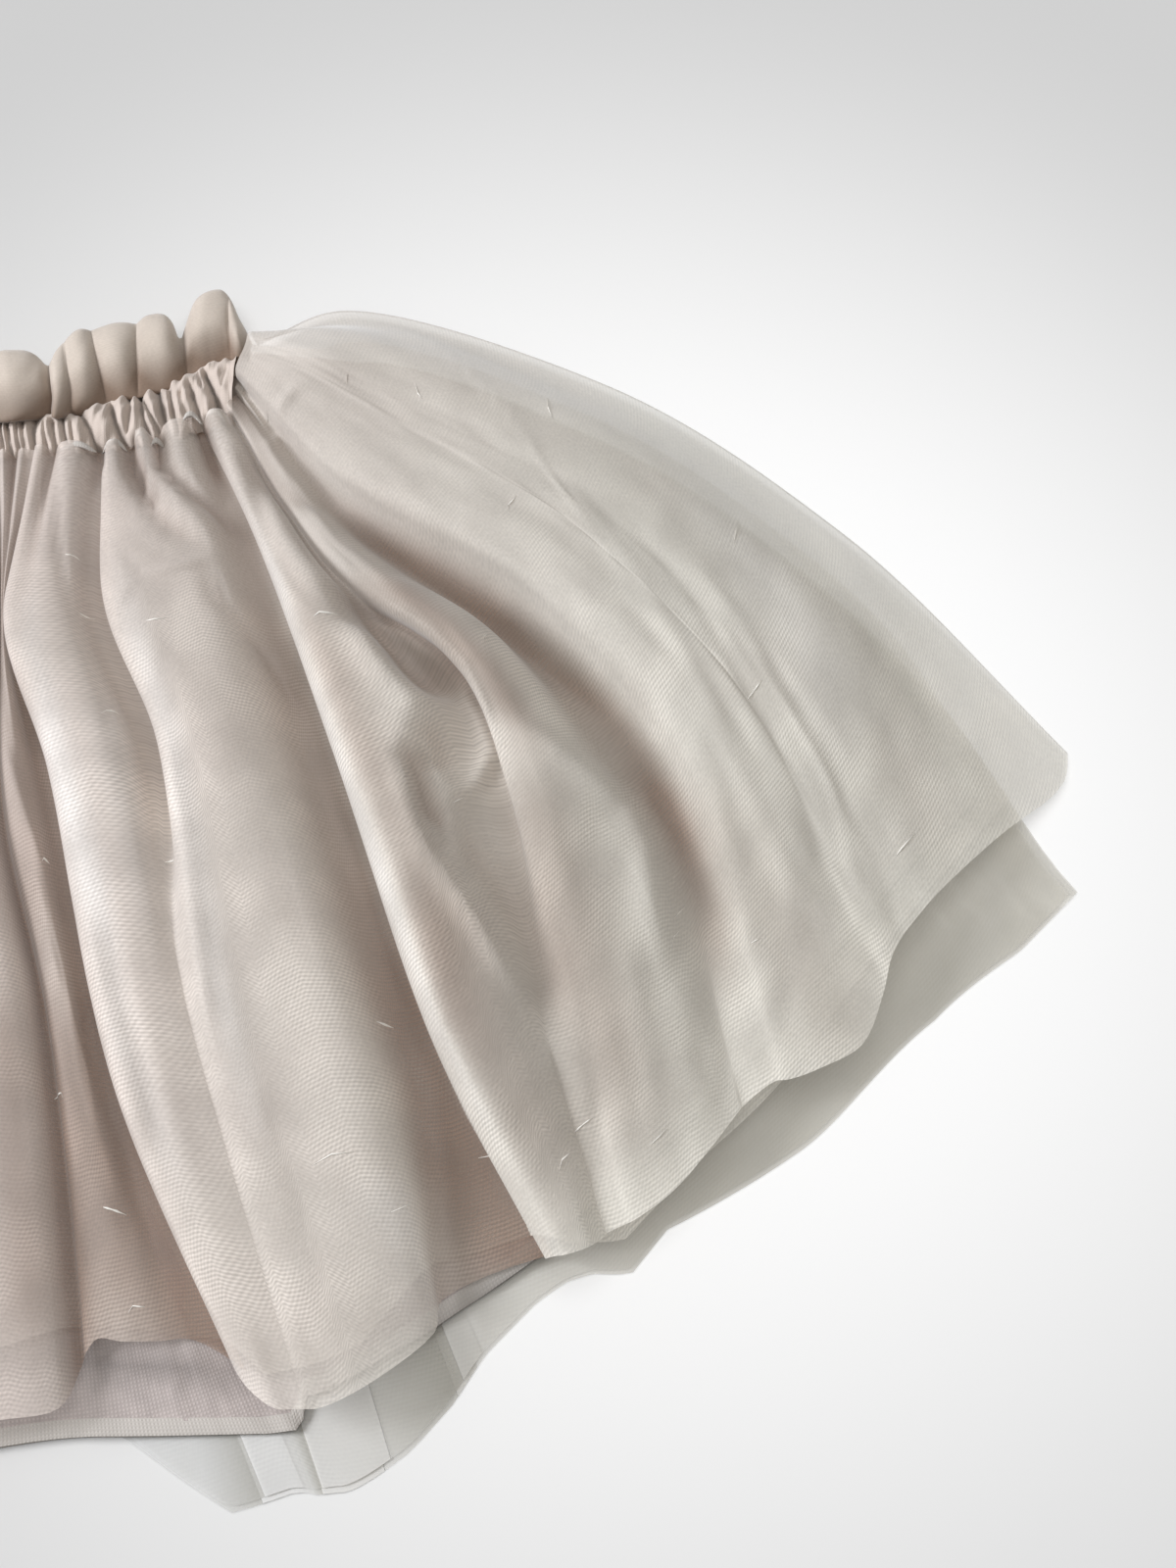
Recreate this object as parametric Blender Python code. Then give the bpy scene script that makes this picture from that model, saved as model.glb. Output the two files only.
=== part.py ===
"""A baby's tulle skirt with a paper-bag waist, lying flat with its front up.

Metres, +Z up. +Y runs from the hem to the waist, +X to the viewer's right, and the surface that
the skirt lies on is z = 0. The origin is on the underside, in the middle of the back panel.
From the surface up lie outer back, under back, back lining, front lining, under front and outer
front; only the outer front stands up in folds. Tables are in millimetres from the middle of the
waist seam.
"""

import math
from collections import namedtuple

import bmesh
import bpy
import numpy as np

MM = 0.001

# Driving sizes, in millimetres.
SEAM_TO_ORIGIN = 115.0  # from the waist seam down to the part's origin
WAIST_HALF = 84.0  # half the flat width of the gathered waist
WAIST_DIP = 12.0  # how far the waist's ends stand above its middle
CASING_HALF = 81.5  # the casing ends just inside the cloth that turns round it
CASING_HEIGHT = 12.0
FRILL_HEIGHT = 24.0
CLOTH = 1.0  # thickness of each cloth wall
GAP = 0.3  # clearance between neighbouring pieces
SEAM_EASE = 0.2  # keeps the straight steps of a panel's edge clear of the curved seam
FRONT_LEVEL = 7.0  # middle of the front wall, where a valley lies on the layers below
SIDE_LEVEL = 1.9  # middle of the front wall at the side, where it lies on the back panel alone
SIDE_TUCK = 13.0  # the front comes down to that level over this width
SIDE_TUCK_SHARE = 0.3  # and over no more than this share of the outermost fold

# Cross-section of a fold, from its edge to the next fold's edge.
EDGE_HEIGHT = 0.5  # share of the rise where a fold is widest
SHOULDER_IN = 0.07
SHOULDER_HEIGHT = 0.86
FALL_HEIGHT = 0.74
FOOT_HEIGHT = 0.08

# Where the fold tables' five places lie along the skirt: 0 is the waist seam and 1 the hem.
PLACES = (0.0, 0.15, 0.4, 0.7, 1.0)
CREST_AT = 0.4  # the folds are highest this far down
ROWS = (0.0, 0.025, 0.06, 0.1, 0.15, 0.22, 0.3, 0.4, 0.5, 0.6, 0.7, 0.8, 0.9, 1.0)
FLAT_ROWS = (0.0, 0.06, 0.15, 0.3, 0.5, 0.75, 1.0)

GATHERS_PER_FOLD = 2
GATHER_HEIGHT = 1.1
GATHER_REACH = 0.09  # share of the length over which the gathers die out
VALLEY_HEM_RISE = 0.028  # share of the length by which a valley's hem falls short of a ridge's



def seam_height(x):
    """How far the waist seam stands above its middle at a distance x from it."""
    return WAIST_DIP * abs(x / WAIST_HALF) ** 3


def on_seam(x):
    return (x, seam_height(x))


# One row for each fold of a half, from the middle out. The five points are the fold's crisp edge.
# rise is its height, valley the height of the dip after it, and lean how far the edge overhangs
# the dip before it (or, below 0, keeps off it), each at the waist, at the crest and at the hem.
# crest, fall and foot are where, from this edge to the next, the fold is highest, has started to
# fall, and has reached the dip.
Fold = namedtuple("Fold", "waist high middle low hem rise valley lean crest fall foot")
RIGHT_FOLDS = (
    Fold(on_seam(0), (0, -40), (0, -98), (0, -172), (0, -256),
         (3, 12, 6), (0, 0, 0), (0, 0, 0), 0.35, 0.84, 0.96),
    Fold(on_seam(24), (29, -42), (36, -97), (54, -159), (71, -244),
         (2, 5, 3), (0, 0, 0), (-2, -3, -3), 0.40, 0.62, 0.85),
    Fold(on_seam(33), (32, -45), (49, -98), (69, -169), (105, -246),
         (3, 15, 8), (0, 2, 6), (1, 4, 4), 0.35, 0.60, 0.85),
    Fold(on_seam(50), (55, -43), (74, -90), (88, -152), (119, -245),
         (3, 15, 8), (0, 0, 0), (1, 4, -5), 0.25, 0.44, 0.66),
    Fold(on_seam(78), (93, -30), (116, -92), (142, -164), (169, -216),
         (4, 18, 11), (0, 3, 7), (1, 5, 5), 0.28, 0.50, 0.80),
    Fold(on_seam(83), (111, -36), (148, -75), (168, -140), (185, -205),
         (4, 16, 8), (1, 0, 3), (0, 3, -9), 0.32, 0.52, 0.74),
    Fold((84.5, 17), (113, -14), (163, -49), (200, -98), (220, -175),
         (7, 17, 8), (5, 13, 4), (0, 3, -12), 0.40, 0.72, 0.92),
    Fold((86, 25), (126, 8), (177, -27), (222, -78), (250, -136),
         (8, 16, 5), (0, 0, 0), (0, -2, -2), 0.30, 0.55, 0.88),
    Fold((86, 35), (111, 51), (180, 27), (243, -21), (301, -91),
         (0, 0, 0), (0, 0, 0), (0, 0, 0), 0.40, 0.60, 0.80),
)
LEFT_FOLDS = (
    RIGHT_FOLDS[0],
    Fold(on_seam(9), (13, -41), (16, -98), (20, -170), (25, -250),
         (2, 11, 6), (0, 1, 3), (1, 3, 2), 0.35, 0.60, 0.85),
    Fold(on_seam(23), (30, -42), (38, -98), (46, -165), (60, -247),
         (3, 12, 6), (0, 0, 3), (1, 3, 1), 0.35, 0.60, 0.85),
    Fold(on_seam(41), (52, -42), (66, -95), (84, -160), (100, -241),
         (3, 15, 8), (0, 1, 4), (1, 4, 4), 0.30, 0.50, 0.75),
    Fold(on_seam(61), (76, -36), (100, -88), (128, -150), (150, -225),
         (4, 17, 9), (0, 0, 0), (1, 5, 5), 0.30, 0.48, 0.70),
    Fold(on_seam(82), (98, -25), (132, -70), (166, -124), (193, -192),
         (4, 16, 8), (1, 2, 3), (1, 4, 3), 0.35, 0.58, 0.80),
    Fold((84.5, 16.5), (113, -7), (158, -42), (204, -88), (232, -154),
         (7, 16, 7), (5, 9, 4), (0, 2, -6), 0.40, 0.66, 0.90),
    Fold((86, 25), (125, 13), (180, -18), (228, -62), (262, -120),
         (8, 15, 5), (0, 0, 0), (0, -2, -2), 0.30, 0.55, 0.88),
    Fold((86, 35), (112, 51), (182, 25), (242, -24), (296, -94),
         (0, 0, 0), (0, 0, 0), (0, 0, 0), 0.40, 0.60, 0.80),
)

# Local puffs (up) and dents (down) of the front, as soft round hills.
Puff = namedtuple("Puff", "x y across along height")
PUFFS = (
    Puff(141, -88, 9, 13, 6.0),
    Puff(133, -107, 6, 7, -5.0),
    Puff(104, 22, 16, 16, 3.0),
    Puff(-106, 20, 15, 15, 3.0),
    Puff(-128, -96, 10, 14, 4.0),
)

# How far the other panels reach past the front hem; at counts folds from the middle.
Drop = namedtuple("Drop", "at by")
RIGHT_BACK_DROPS = (
    Drop(0.0, 3), Drop(1.0, 6), Drop(1.6, 14), Drop(2.0, 16), Drop(3.0, 12), Drop(3.3, 12),
    Drop(3.6, 6), Drop(4.0, 2), Drop(4.5, 4), Drop(5.0, 8), Drop(5.3, 4), Drop(6.0, 10),
    Drop(6.5, 14), Drop(7.0, 19), Drop(7.67, 26), Drop(7.8, 3),
)
LEFT_BACK_DROPS = (
    Drop(0.0, 3), Drop(0.7, 10), Drop(1.5, 6), Drop(2.4, 14), Drop(3.0, 7), Drop(4.0, 12),
    Drop(5.0, 8), Drop(6.0, 12), Drop(7.0, 15), Drop(7.6, 22), Drop(7.8, 4),
)
UNDER_BACK_SHORTER = 5.0  # than the outer back
UNDER_FRONT_DROPS = (Drop(0.0, -6), Drop(4.0, -5), Drop(5.0, 4), Drop(7.0, 5), Drop(7.8, -6))
LINING_DROPS = (Drop(0.0, 1), Drop(2.0, 1), Drop(4.0, -9), Drop(8.0, -12))

# How far inside the front's side edge the other panels end.
BACK_INSET = 13.0
UNDER_INSET = 16.0
LINING_INSET = 19.0
MOST_INSET_SHARE = 0.45  # of the outermost fold, where that is narrow

CASING_RUCHES = 38
CASING_WAVE = 0.9
CASING_WAVE_CHANGE = 0.3  # share by which the ruches grow and shrink along the strip
CASING_CHANGE_LENGTH = 2.7  # ruches from one growth to the next
CASING_SLANT = 1.1  # radians by which a ruche moves sideways over the strip's height
CASING_WALL = 1.6
CASING_FRONT_LEVEL = 7.0
CASING_BACK_TOP = 3.6

# One row for each puff of the frill, from left to right: its right-hand crease and its height.
FrillPuff = namedtuple("FrillPuff", "crease height")
FRILL_START = -82.5
FRILL_PUFFS = (
    FrillPuff(-69, 25), FrillPuff(-58, 22), FrillPuff(-45, 24), FrillPuff(-32, 21),
    FrillPuff(-20, 23), FrillPuff(-7, 20), FrillPuff(6, 22), FrillPuff(18, 21),
    FrillPuff(33, 20), FrillPuff(46, 24), FrillPuff(57, 24), FrillPuff(68, 24),
    FrillPuff(82.5, 27),
)
FRILL_POINTS = 6  # points across each puff
FRILL_TURNS = (0.0, 0.1, 0.3, 0.55, 0.8, 1.0)  # rows round a puff, from the casing over its top
FRILL_FULLNESS = 0.7  # below 1, a puff's section is fuller than a half circle's
FRILL_RISE = 9.0
FRILL_CREASE_DEPTH = 0.62  # share of the rise lost at a crease
FRILL_NOTCH = 0.2  # share of the height lost at a crease
FRILL_FRONT_LEVEL = 7.0
FRILL_BACK_TOP = 3.4
FRILL_BACK_DIP = 1.2
FRILL_BACK_SHORTER = 1.5
FRILL_BACK_TAPER = 1.0  # the back frill thins by this much to its edge


def cubic(places, values, at):
    """Values of a smooth curve through the given ones, which never swings past them."""
    places = np.asarray(places, float)
    values = np.asarray(values, float)
    tail = (1,) * (values.ndim - 1)
    steps = np.diff(values, axis=0) / np.diff(places).reshape(-1, *tail)
    before = np.concatenate((steps[:1], steps))
    after = np.concatenate((steps, steps[-1:]))
    alike = before * after > 0
    slopes = np.where(alike, 2 * before * after / np.where(alike, before + after, 1), 0)
    at = np.asarray(at, float)
    left = np.clip(np.searchsorted(places, at, side="right") - 1, 0, len(places) - 2)
    span = (places[left + 1] - places[left]).reshape(left.shape + tail)
    share = (at - places[left]).reshape(left.shape + tail) / span
    start = (1 + 2 * share) * (1 - share) ** 2 * values[left]
    start_slope = share * (1 - share) ** 2 * span * slopes[left]
    end = share**2 * (3 - 2 * share) * values[left + 1]
    end_slope = share**2 * (share - 1) * span * slopes[left + 1]
    return start + start_slope + end + end_slope


def along(sizes, place):
    """A size given at the waist, the crest and the hem, at a place between them."""
    waist, crest, hem = sizes
    if place < CREST_AT:
        return waist + (crest - waist) * math.sin(0.5 * math.pi * place / CREST_AT)
    share = (place - CREST_AT) / (1 - CREST_AT)
    return hem + (crest - hem) * 0.5 * (1 + math.cos(math.pi * share))


def smooth_step(low, high, value):
    share = np.clip((value - low) / (high - low), 0, 1)
    return share * share * (3 - 2 * share)


def plan(folds, across, place):
    """Points of a half in plan, across folds from the middle and place along the skirt."""
    edges = np.array([fold[: len(PLACES)] for fold in folds], float)
    crossing = cubic(PLACES, edges.swapaxes(0, 1), min(place, 1.0))
    points = cubic(np.arange(len(folds)), crossing, across)
    if place > 1.0:
        before = cubic(np.arange(len(folds)), cubic(PLACES, edges.swapaxes(0, 1), 0.9), across)
        points = points + (points - before) * (place - 1) / 0.1
    if place < ROWS[1]:
        seam = seam_height(points[..., 0]) - SEAM_EASE
        before_end = points[..., 0] < CASING_HALF + GAP
        points[..., 1] = np.where(before_end, np.minimum(points[..., 1], seam), points[..., 1])
    return points


def section(folds, place):
    """A half's cross-section: across and height of each point, from the middle to the side."""
    spots = plan(folds, np.arange(len(folds)), place)
    points = []
    for index, fold in enumerate(folds[:-1]):
        width = np.linalg.norm(spots[index + 1] - spots[index])
        rise = along(fold.rise, place)
        valley = along(fold.valley, place)
        under = min(along(folds[index + 1].lean, place) / width, 0.3)
        edge = rise if index == 0 else EDGE_HEIGHT * rise
        shoulder = rise if index == 0 else SHOULDER_HEIGHT * rise
        points += (
            (index, edge),
            (index + SHOULDER_IN, shoulder),
            (index + fold.crest, rise),
            (index + fold.fall, valley + FALL_HEIGHT * (rise - valley)),
            (index + fold.foot, valley + FOOT_HEIGHT * (rise - valley)),
            (index + 1 + under, valley),
        )
    points.append((len(folds) - 1, 0.0))
    return np.array(points)


def front_half(folds, side):
    """Rows of points of the outer front's half, from the middle to the side."""
    last = len(folds) - 1
    rows = []
    for place in ROWS:
        across, height = section(folds, place).T
        top = max(along(folds[3].rise, place), 1.0)
        short = VALLEY_HEM_RISE * np.clip(1 - height / top, 0, 1) * place**4
        spots = np.array([plan(folds, a, place - s) for a, s in zip(across, short)])
        gather = GATHER_HEIGHT * math.exp(-place / GATHER_REACH)
        height = height + gather * (1 - np.cos(2 * math.pi * GATHERS_PER_FOLD * across))
        side_width = np.linalg.norm(plan(folds, last, place) - plan(folds, last - 1, place))
        tuck = min(SIDE_TUCK / side_width, SIDE_TUCK_SHARE)
        down = smooth_step(last - tuck, last, across)
        level = FRONT_LEVEL + (SIDE_LEVEL - FRONT_LEVEL) * down
        rows.append(np.column_stack((side * spots[:, 0], spots[:, 1], level + height * (1 - down))))
    grid = np.array(rows)
    for puff in PUFFS:
        far = ((grid[..., 0] - puff.x) / puff.across) ** 2 + ((grid[..., 1] - puff.y) / puff.along) ** 2
        grid[..., 2] += puff.height * np.exp(-far)
    return grid


def both_halves(right, left):
    """One grid from the left side to the right side; the halves share their middle column."""
    return np.concatenate((left[:, :0:-1], right), axis=1)


def flat_half(folds, side, drops, inset, steps, level):
    """Rows of points of a flat half panel that ends an inset inside the front's side."""
    last = len(folds) - 1
    rows = []
    for place in FLAT_ROWS:
        side_width = np.linalg.norm(plan(folds, last, place) - plan(folds, last - 1, place))
        last_fold = 1 - min(inset / side_width, MOST_INSET_SHARE)
        across = np.arange(last * steps + 1) / steps
        across = np.minimum(across, last - 1) + last_fold * np.maximum(across - last + 1, 0)
        by = np.interp(across, [drop.at for drop in drops], [drop.by for drop in drops])
        spots = []
        for a, drop in zip(across, by):
            length = np.linalg.norm(plan(folds, a, 1.0) - plan(folds, a, 0.0))
            spots.append(plan(folds, a, place * (1 + drop / length)))
        spots = np.array(spots)
        rows.append(np.column_stack((side * spots[:, 0], spots[:, 1], np.full(len(across), level))))
    return np.array(rows)


def fabric(name, color, roughness):
    material = bpy.data.materials.new(name)
    material.use_nodes = True
    shader = material.node_tree.nodes["Principled BSDF"]
    shader.inputs["Base Color"].default_value = (*color, 1)
    shader.inputs["Roughness"].default_value = roughness
    return material


def grid_mesh(name, grid):
    """A sheet of quads through a grid of points in millimetres, facing up."""
    rows, columns = grid.shape[:2]
    shape = bmesh.new()
    points = grid + (0, SEAM_TO_ORIGIN, 0)
    corners = [[shape.verts.new(point * MM) for point in row] for row in points]
    for row in range(rows - 1):
        for column in range(columns - 1):
            shape.faces.new((
                corners[row][column],
                corners[row + 1][column],
                corners[row + 1][column + 1],
                corners[row][column + 1],
            ))
    bmesh.ops.recalc_face_normals(shape, faces=shape.faces)
    if sum(face.normal.z for face in shape.faces) < 0:
        bmesh.ops.reverse_faces(shape, faces=shape.faces)
    return shape


def add_object(name, shape, material):
    mesh = bpy.data.meshes.new(name)
    shape.to_mesh(mesh)
    shape.free()
    mesh.shade_smooth()
    mesh.materials.append(material)
    piece = bpy.data.objects.new(name, mesh)
    bpy.context.scene.collection.objects.link(piece)
    return piece


def add_wall(name, grid, thickness, material):
    """A wall of even thickness, with the grid in its middle."""
    piece = add_object(name, grid_mesh(name, grid), material)
    wall = piece.modifiers.new("wall", "SOLIDIFY")
    wall.thickness = thickness * MM
    wall.offset = 0
    return piece


def add_resting(name, grid, material):
    """A solid between the grid and the surface that it rests on."""
    shape = grid_mesh(name, grid)
    made = bmesh.ops.extrude_face_region(shape, geom=shape.faces[:])
    for part in made["geom"]:
        if isinstance(part, bmesh.types.BMVert):
            part.co.z = 0
    bmesh.ops.recalc_face_normals(shape, faces=shape.faces)
    return add_object(name, shape, material)


def add_flat_panel(name, order, drops, inset, steps, material):
    """A flat panel, the given number of layers above the surface."""
    level = CLOTH / 2 + order * (CLOTH + GAP)
    right_drops, left_drops = drops
    right = flat_half(RIGHT_FOLDS, 1, right_drops, inset, steps, level)
    left = flat_half(LEFT_FOLDS, -1, left_drops, inset, steps, level)
    return add_wall(name, both_halves(right, left), CLOTH, material)


def strip_grid(x, low, high, rows, height):
    """Rows of points above the waist seam between two distances from it."""
    grid = []
    for share in rows:
        out = low + (high - low) * share
        grid.append(np.column_stack((x, seam_height(x) + out, height(x, share))))
    return np.array(grid)


def casing_ruche(x, share):
    """Height of the ruched strip over its own level."""
    phase = math.pi * CASING_RUCHES * (x / CASING_HALF + 1)
    change = 1 - CASING_WAVE_CHANGE * (1 - np.sin(phase / CASING_CHANGE_LENGTH))
    return CASING_WAVE * change * np.cos(phase + CASING_SLANT * share)


def add_casing(front, material):
    x = np.linspace(-CASING_HALF, CASING_HALF, 3 * CASING_RUCHES + 1)
    low = GAP
    high = CASING_HEIGHT - GAP
    if front:
        grid = strip_grid(x, low, high, (0, 0.5, 1), lambda x, s: CASING_FRONT_LEVEL + casing_ruche(x, s))
        return add_wall("casing_front", grid, CASING_WALL, material)
    grid = strip_grid(x, low, high, (0, 1), lambda x, s: CASING_BACK_TOP + casing_ruche(x, s))
    return add_resting("casing_back", grid, material)


def frill_columns():
    """Across the frill: x, how round the puff is there (0 at a crease, 1 amid it) and its height."""
    columns = []
    start = FRILL_START
    for puff in FRILL_PUFFS:
        for step in range(FRILL_POINTS):
            share = step / FRILL_POINTS
            columns.append((start + share * (puff.crease - start), math.sin(math.pi * share), puff.height))
        start = puff.crease
    columns.append((start, 0.0, FRILL_PUFFS[-1].height))
    return np.array(columns)


def add_frill_front(material):
    x, round_, height = frill_columns().T
    rise = FRILL_RISE * (1 - FRILL_CREASE_DEPTH * (1 - round_))
    reach = height * (1 - FRILL_NOTCH * (1 - round_))
    rows = []
    for turn in FRILL_TURNS:
        angle = math.pi * turn
        out = CASING_HEIGHT + CLOTH + reach * (0.5 - 0.5 * math.cos(angle))
        lift = FRILL_FRONT_LEVEL + rise * math.sin(angle) ** FRILL_FULLNESS
        rows.append(np.column_stack((x, seam_height(x) + out, lift)))
    return add_wall("frill_front", np.array(rows), CLOTH, material)


def add_frill_back(material):
    x, round_, height = frill_columns().T
    reach = height * (1 - FRILL_NOTCH * (1 - round_)) - FRILL_BACK_SHORTER
    rows = []
    for share in (0, 0.5, 1):
        top = FRILL_BACK_TOP - FRILL_BACK_DIP * (1 - round_) - FRILL_BACK_TAPER * share**2
        rows.append(np.column_stack((x, seam_height(x) + CASING_HEIGHT + reach * share, top)))
    return add_resting("frill_back", np.array(rows), material)


def add_outer_front(material):
    grid = both_halves(front_half(RIGHT_FOLDS, 1), front_half(LEFT_FOLDS, -1))
    return add_wall("outer_tulle_front", grid, CLOTH, material)


def clear_scene():
    for thing in list(bpy.data.objects):
        bpy.data.objects.remove(thing)


def main():
    clear_scene()
    net = fabric("tulle", (0.60, 0.51, 0.45), 0.85)
    under_net = fabric("under_tulle", (0.58, 0.56, 0.49), 0.85)
    cotton = fabric("lining_cotton", (0.49, 0.38, 0.37), 0.9)
    band = fabric("casing_cotton", (0.40, 0.31, 0.29), 0.9)
    back_drops = (RIGHT_BACK_DROPS, LEFT_BACK_DROPS)
    under_back = [[Drop(at, by - UNDER_BACK_SHORTER) for at, by in side] for side in back_drops]
    add_flat_panel("outer_tulle_back", 0, back_drops, BACK_INSET, 3, net)
    add_flat_panel("under_tulle_back", 1, under_back, UNDER_INSET, 2, under_net)
    add_flat_panel("lining_back", 2, (LINING_DROPS, LINING_DROPS), LINING_INSET, 2, cotton)
    add_flat_panel("lining_front", 3, (LINING_DROPS, LINING_DROPS), LINING_INSET, 2, cotton)
    add_flat_panel("under_tulle_front", 4, (UNDER_FRONT_DROPS, UNDER_FRONT_DROPS), UNDER_INSET, 2, under_net)
    add_outer_front(net)
    add_casing(False, band)
    add_casing(True, band)
    add_frill_back(net)
    add_frill_front(net)


main()
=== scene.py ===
"""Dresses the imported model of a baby's tulle skirt that lies flat with its front up.

Tables and named sizes are in millimetres from the middle of the waist seam: x to the viewer's
right, y towards the waist, heights over the surface that the skirt lies on. Places along the skirt
are shares of its length, from the seam to the hem. Materials, the stage and the sizes that a user
can change are in metres.
"""

import math
from collections import namedtuple
from functools import partial

import bpy
import numpy as np
from bpy.props import FloatProperty, FloatVectorProperty, IntProperty, PointerProperty
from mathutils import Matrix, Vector, noise


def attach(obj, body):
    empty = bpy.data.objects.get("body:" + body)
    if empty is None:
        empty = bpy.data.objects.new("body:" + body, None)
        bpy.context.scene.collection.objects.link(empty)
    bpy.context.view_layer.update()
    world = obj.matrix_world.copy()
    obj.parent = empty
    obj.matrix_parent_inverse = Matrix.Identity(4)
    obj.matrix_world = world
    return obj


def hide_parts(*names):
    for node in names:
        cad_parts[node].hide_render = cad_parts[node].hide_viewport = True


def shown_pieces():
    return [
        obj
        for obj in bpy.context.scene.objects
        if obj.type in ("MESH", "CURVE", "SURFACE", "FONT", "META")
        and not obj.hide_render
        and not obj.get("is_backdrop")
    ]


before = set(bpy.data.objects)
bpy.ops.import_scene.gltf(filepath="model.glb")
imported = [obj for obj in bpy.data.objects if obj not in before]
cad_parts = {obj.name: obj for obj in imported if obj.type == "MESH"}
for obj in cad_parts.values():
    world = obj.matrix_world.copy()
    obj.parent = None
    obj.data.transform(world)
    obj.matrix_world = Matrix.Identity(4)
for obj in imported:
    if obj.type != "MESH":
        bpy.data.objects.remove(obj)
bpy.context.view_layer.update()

bl_info = {
    "name": "Tulle Skirt",
    "version": (1, 0, 0),
    "blender": (4, 5, 0),
    "location": "View3D > Sidebar > Skirt",
    "description": "Builds the cloth of a gathered tulle skirt around its packed model",
    "category": "Object",
}

MM = 0.001
SEAM_TO_ORIGIN = 115.0  # from the waist seam down to the part's origin

WAIST_HALF = 84.0
WAIST_DIP = 12.0  # how far the waist's ends stand above its middle
CASING_HALF = 81.5
CASING_END = 83.2
CASING_HEIGHT = 12.0
CASING_OVER = 0.3  # how far the casing runs up under the frill, and down under the seam
CASING_UNDER = 0.6
CASING_COLUMNS = 760
CASING_ROWS = 22

# Levels of the cloth layers, from the surface up.
OUTER_BACK_LEVEL = 0.5
UNDER_BACK_LEVEL = 1.3
LINING_BACK_LEVEL = 2.7
LINING_FRONT_LEVEL = 4.2
UNDER_FRONT_LEVEL = 5.7
FRONT_LEVEL = 7.0
SIDE_LEVEL = 1.9  # of the outer front along its sides
LEAST_FRONT = 6.4  # no crease takes the outer front below this
LEAST_SIDE = 1.2  # nor below this at its sides

# Cross-section of a fold, from its edge to the next fold's edge.
EDGE_HEIGHT = 0.5
SHOULDER_IN = 0.07
SHOULDER_HEIGHT = 0.86
FALL_HEIGHT = 0.74
FOOT_HEIGHT = 0.08
MOST_LEAN = 0.3
LEAST_DIP = 0.02  # a dip's least width, in folds
FLAT_EDGE = 0.03  # how steeply a fold's edge rises where nothing overhangs it
UNDER_LAG = 0.045  # how far inside the outer net's folds the under net rises, in folds

PLACES = (0.0, 0.15, 0.4, 0.7, 1.0)  # of the five points of a fold's edge
CREST_AT = 0.4
LOW_AT = 0.7
SKIRT_LENGTH = 255.0
VALLEY_HEM_RISE = 0.028  # how far the hem runs up in a valley, as a share of the length
HEM_SETTLES = 0.52  # how much lower the layers lie at the hem, as a share
SIDE_TUCK = 13.0  # how far from its side the outer front starts to turn down
SIDE_TUCK_SHARE = 0.3  # the most of the last fold that this may take
SEAM_EASE = 0.2
SEAM_HALF = CASING_HALF + 0.3
SEAM_PLACE = 0.025  # down to this share of the length the net stays at or under the seam
HEM_STEP = 0.1  # share of the length from which the net runs on straight past its hem
TALLEST_FOLD = 3  # the others' heights are compared with its own
# The outer front's valleys are painted darker: partly the lining's tone showing through, partly painted
# shade.
VALLEY_SHADE_AT_CREST = 0.5
TONED_BELOW = -1.5  # creases that are deeper than this take painted shade, partly for the lining's tone showing through
DEEP_CREASE = -10.0
VALLEY_SHADE_BELOW = 0.6  # share of a fold's height under which a valley's painted shade starts, partly for the lining showing through
VALLEY_SHADE_STARTS = (0.02, 0.14)  # places between which it starts to
VALLEY_SHADE_GROWS = (0.25, 0.8)  # places between which it comes to show fully
VALLEY_SHADE_ENDS = (2.0, 1.6)  # where it stops towards the side, in folds from there
CREASE_FULL = (0.25, 0.7)  # shares of a crease's length between which it is at its full height
CRUMPLED = (0.03, 0.97)  # shares of the outer front's width between which it is fully crumpled
CRUMPLE_FROM = 25.0  # how far below the seam it comes to be
FINE_CRUMPLE = 0.35  # height of its finer crumple, over that of the coarser
LEAST_CHORD = 0.05
CHORD_POWER = 0.6  # how much more a curve eases between points that lie far apart

SLIT_REACH = 1.3
SLIT_DEPTH = 3.5
SLIT_SHADE = 0.9
GATHER_ROUND = 0.4  # the lower, the squarer a gather's puff
GATHER_FADE = 1.4  # the higher, the more suddenly a gather ends
LAP_REACH = 7.0

FRONT_PLACES = np.linspace(0, 1, 190) ** 1.35  # of the rows, which crowd towards the waist
FRONT_STEPS = 5  # columns for each point of a fold's cross-section
FLAT_STEPS = 20  # columns for each fold of a flat panel

BACK_COVER = 0.92  # the back nets hide less, as they lie flat and unfolded
BACK_SHADE = 0.25  # painted shade all over them, for the shadowed floor that shows through them
BACK_SHADE_COLOUR = (0.47, 0.465, 0.425)  # the colour of their painted shade, as shares of the net's cool colour
BACK_PATTERN = 0.2  # how much of the knit shows in them
RIB_WANDER = 0.0012  # in metres, as the next
CELL_SPACING = 0.00105

TINY = 1e-6  # keeps a division from being by zero
UV_NAME = "cloth"
# Name of the point attribute whose values paint shade into the cloth's colour, and light where they are
# below 0.
PAINTED_SHADE_NAME = "painted_shade_and_light"
MIX_A, MIX_B = 6, 7  # the colour inputs of a Mix node, and its colour output
MIXED = 2


def table(row, *values):
    """A table whose rows have the columns that row names."""
    return tuple(row(*value) for value in values)


def seam_height(x):
    """How far the waist seam stands above its middle at a distance x from it."""
    return WAIST_DIP * abs(x / WAIST_HALF) ** 3


def on_seam(x):
    return (x, seam_height(x))


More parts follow.
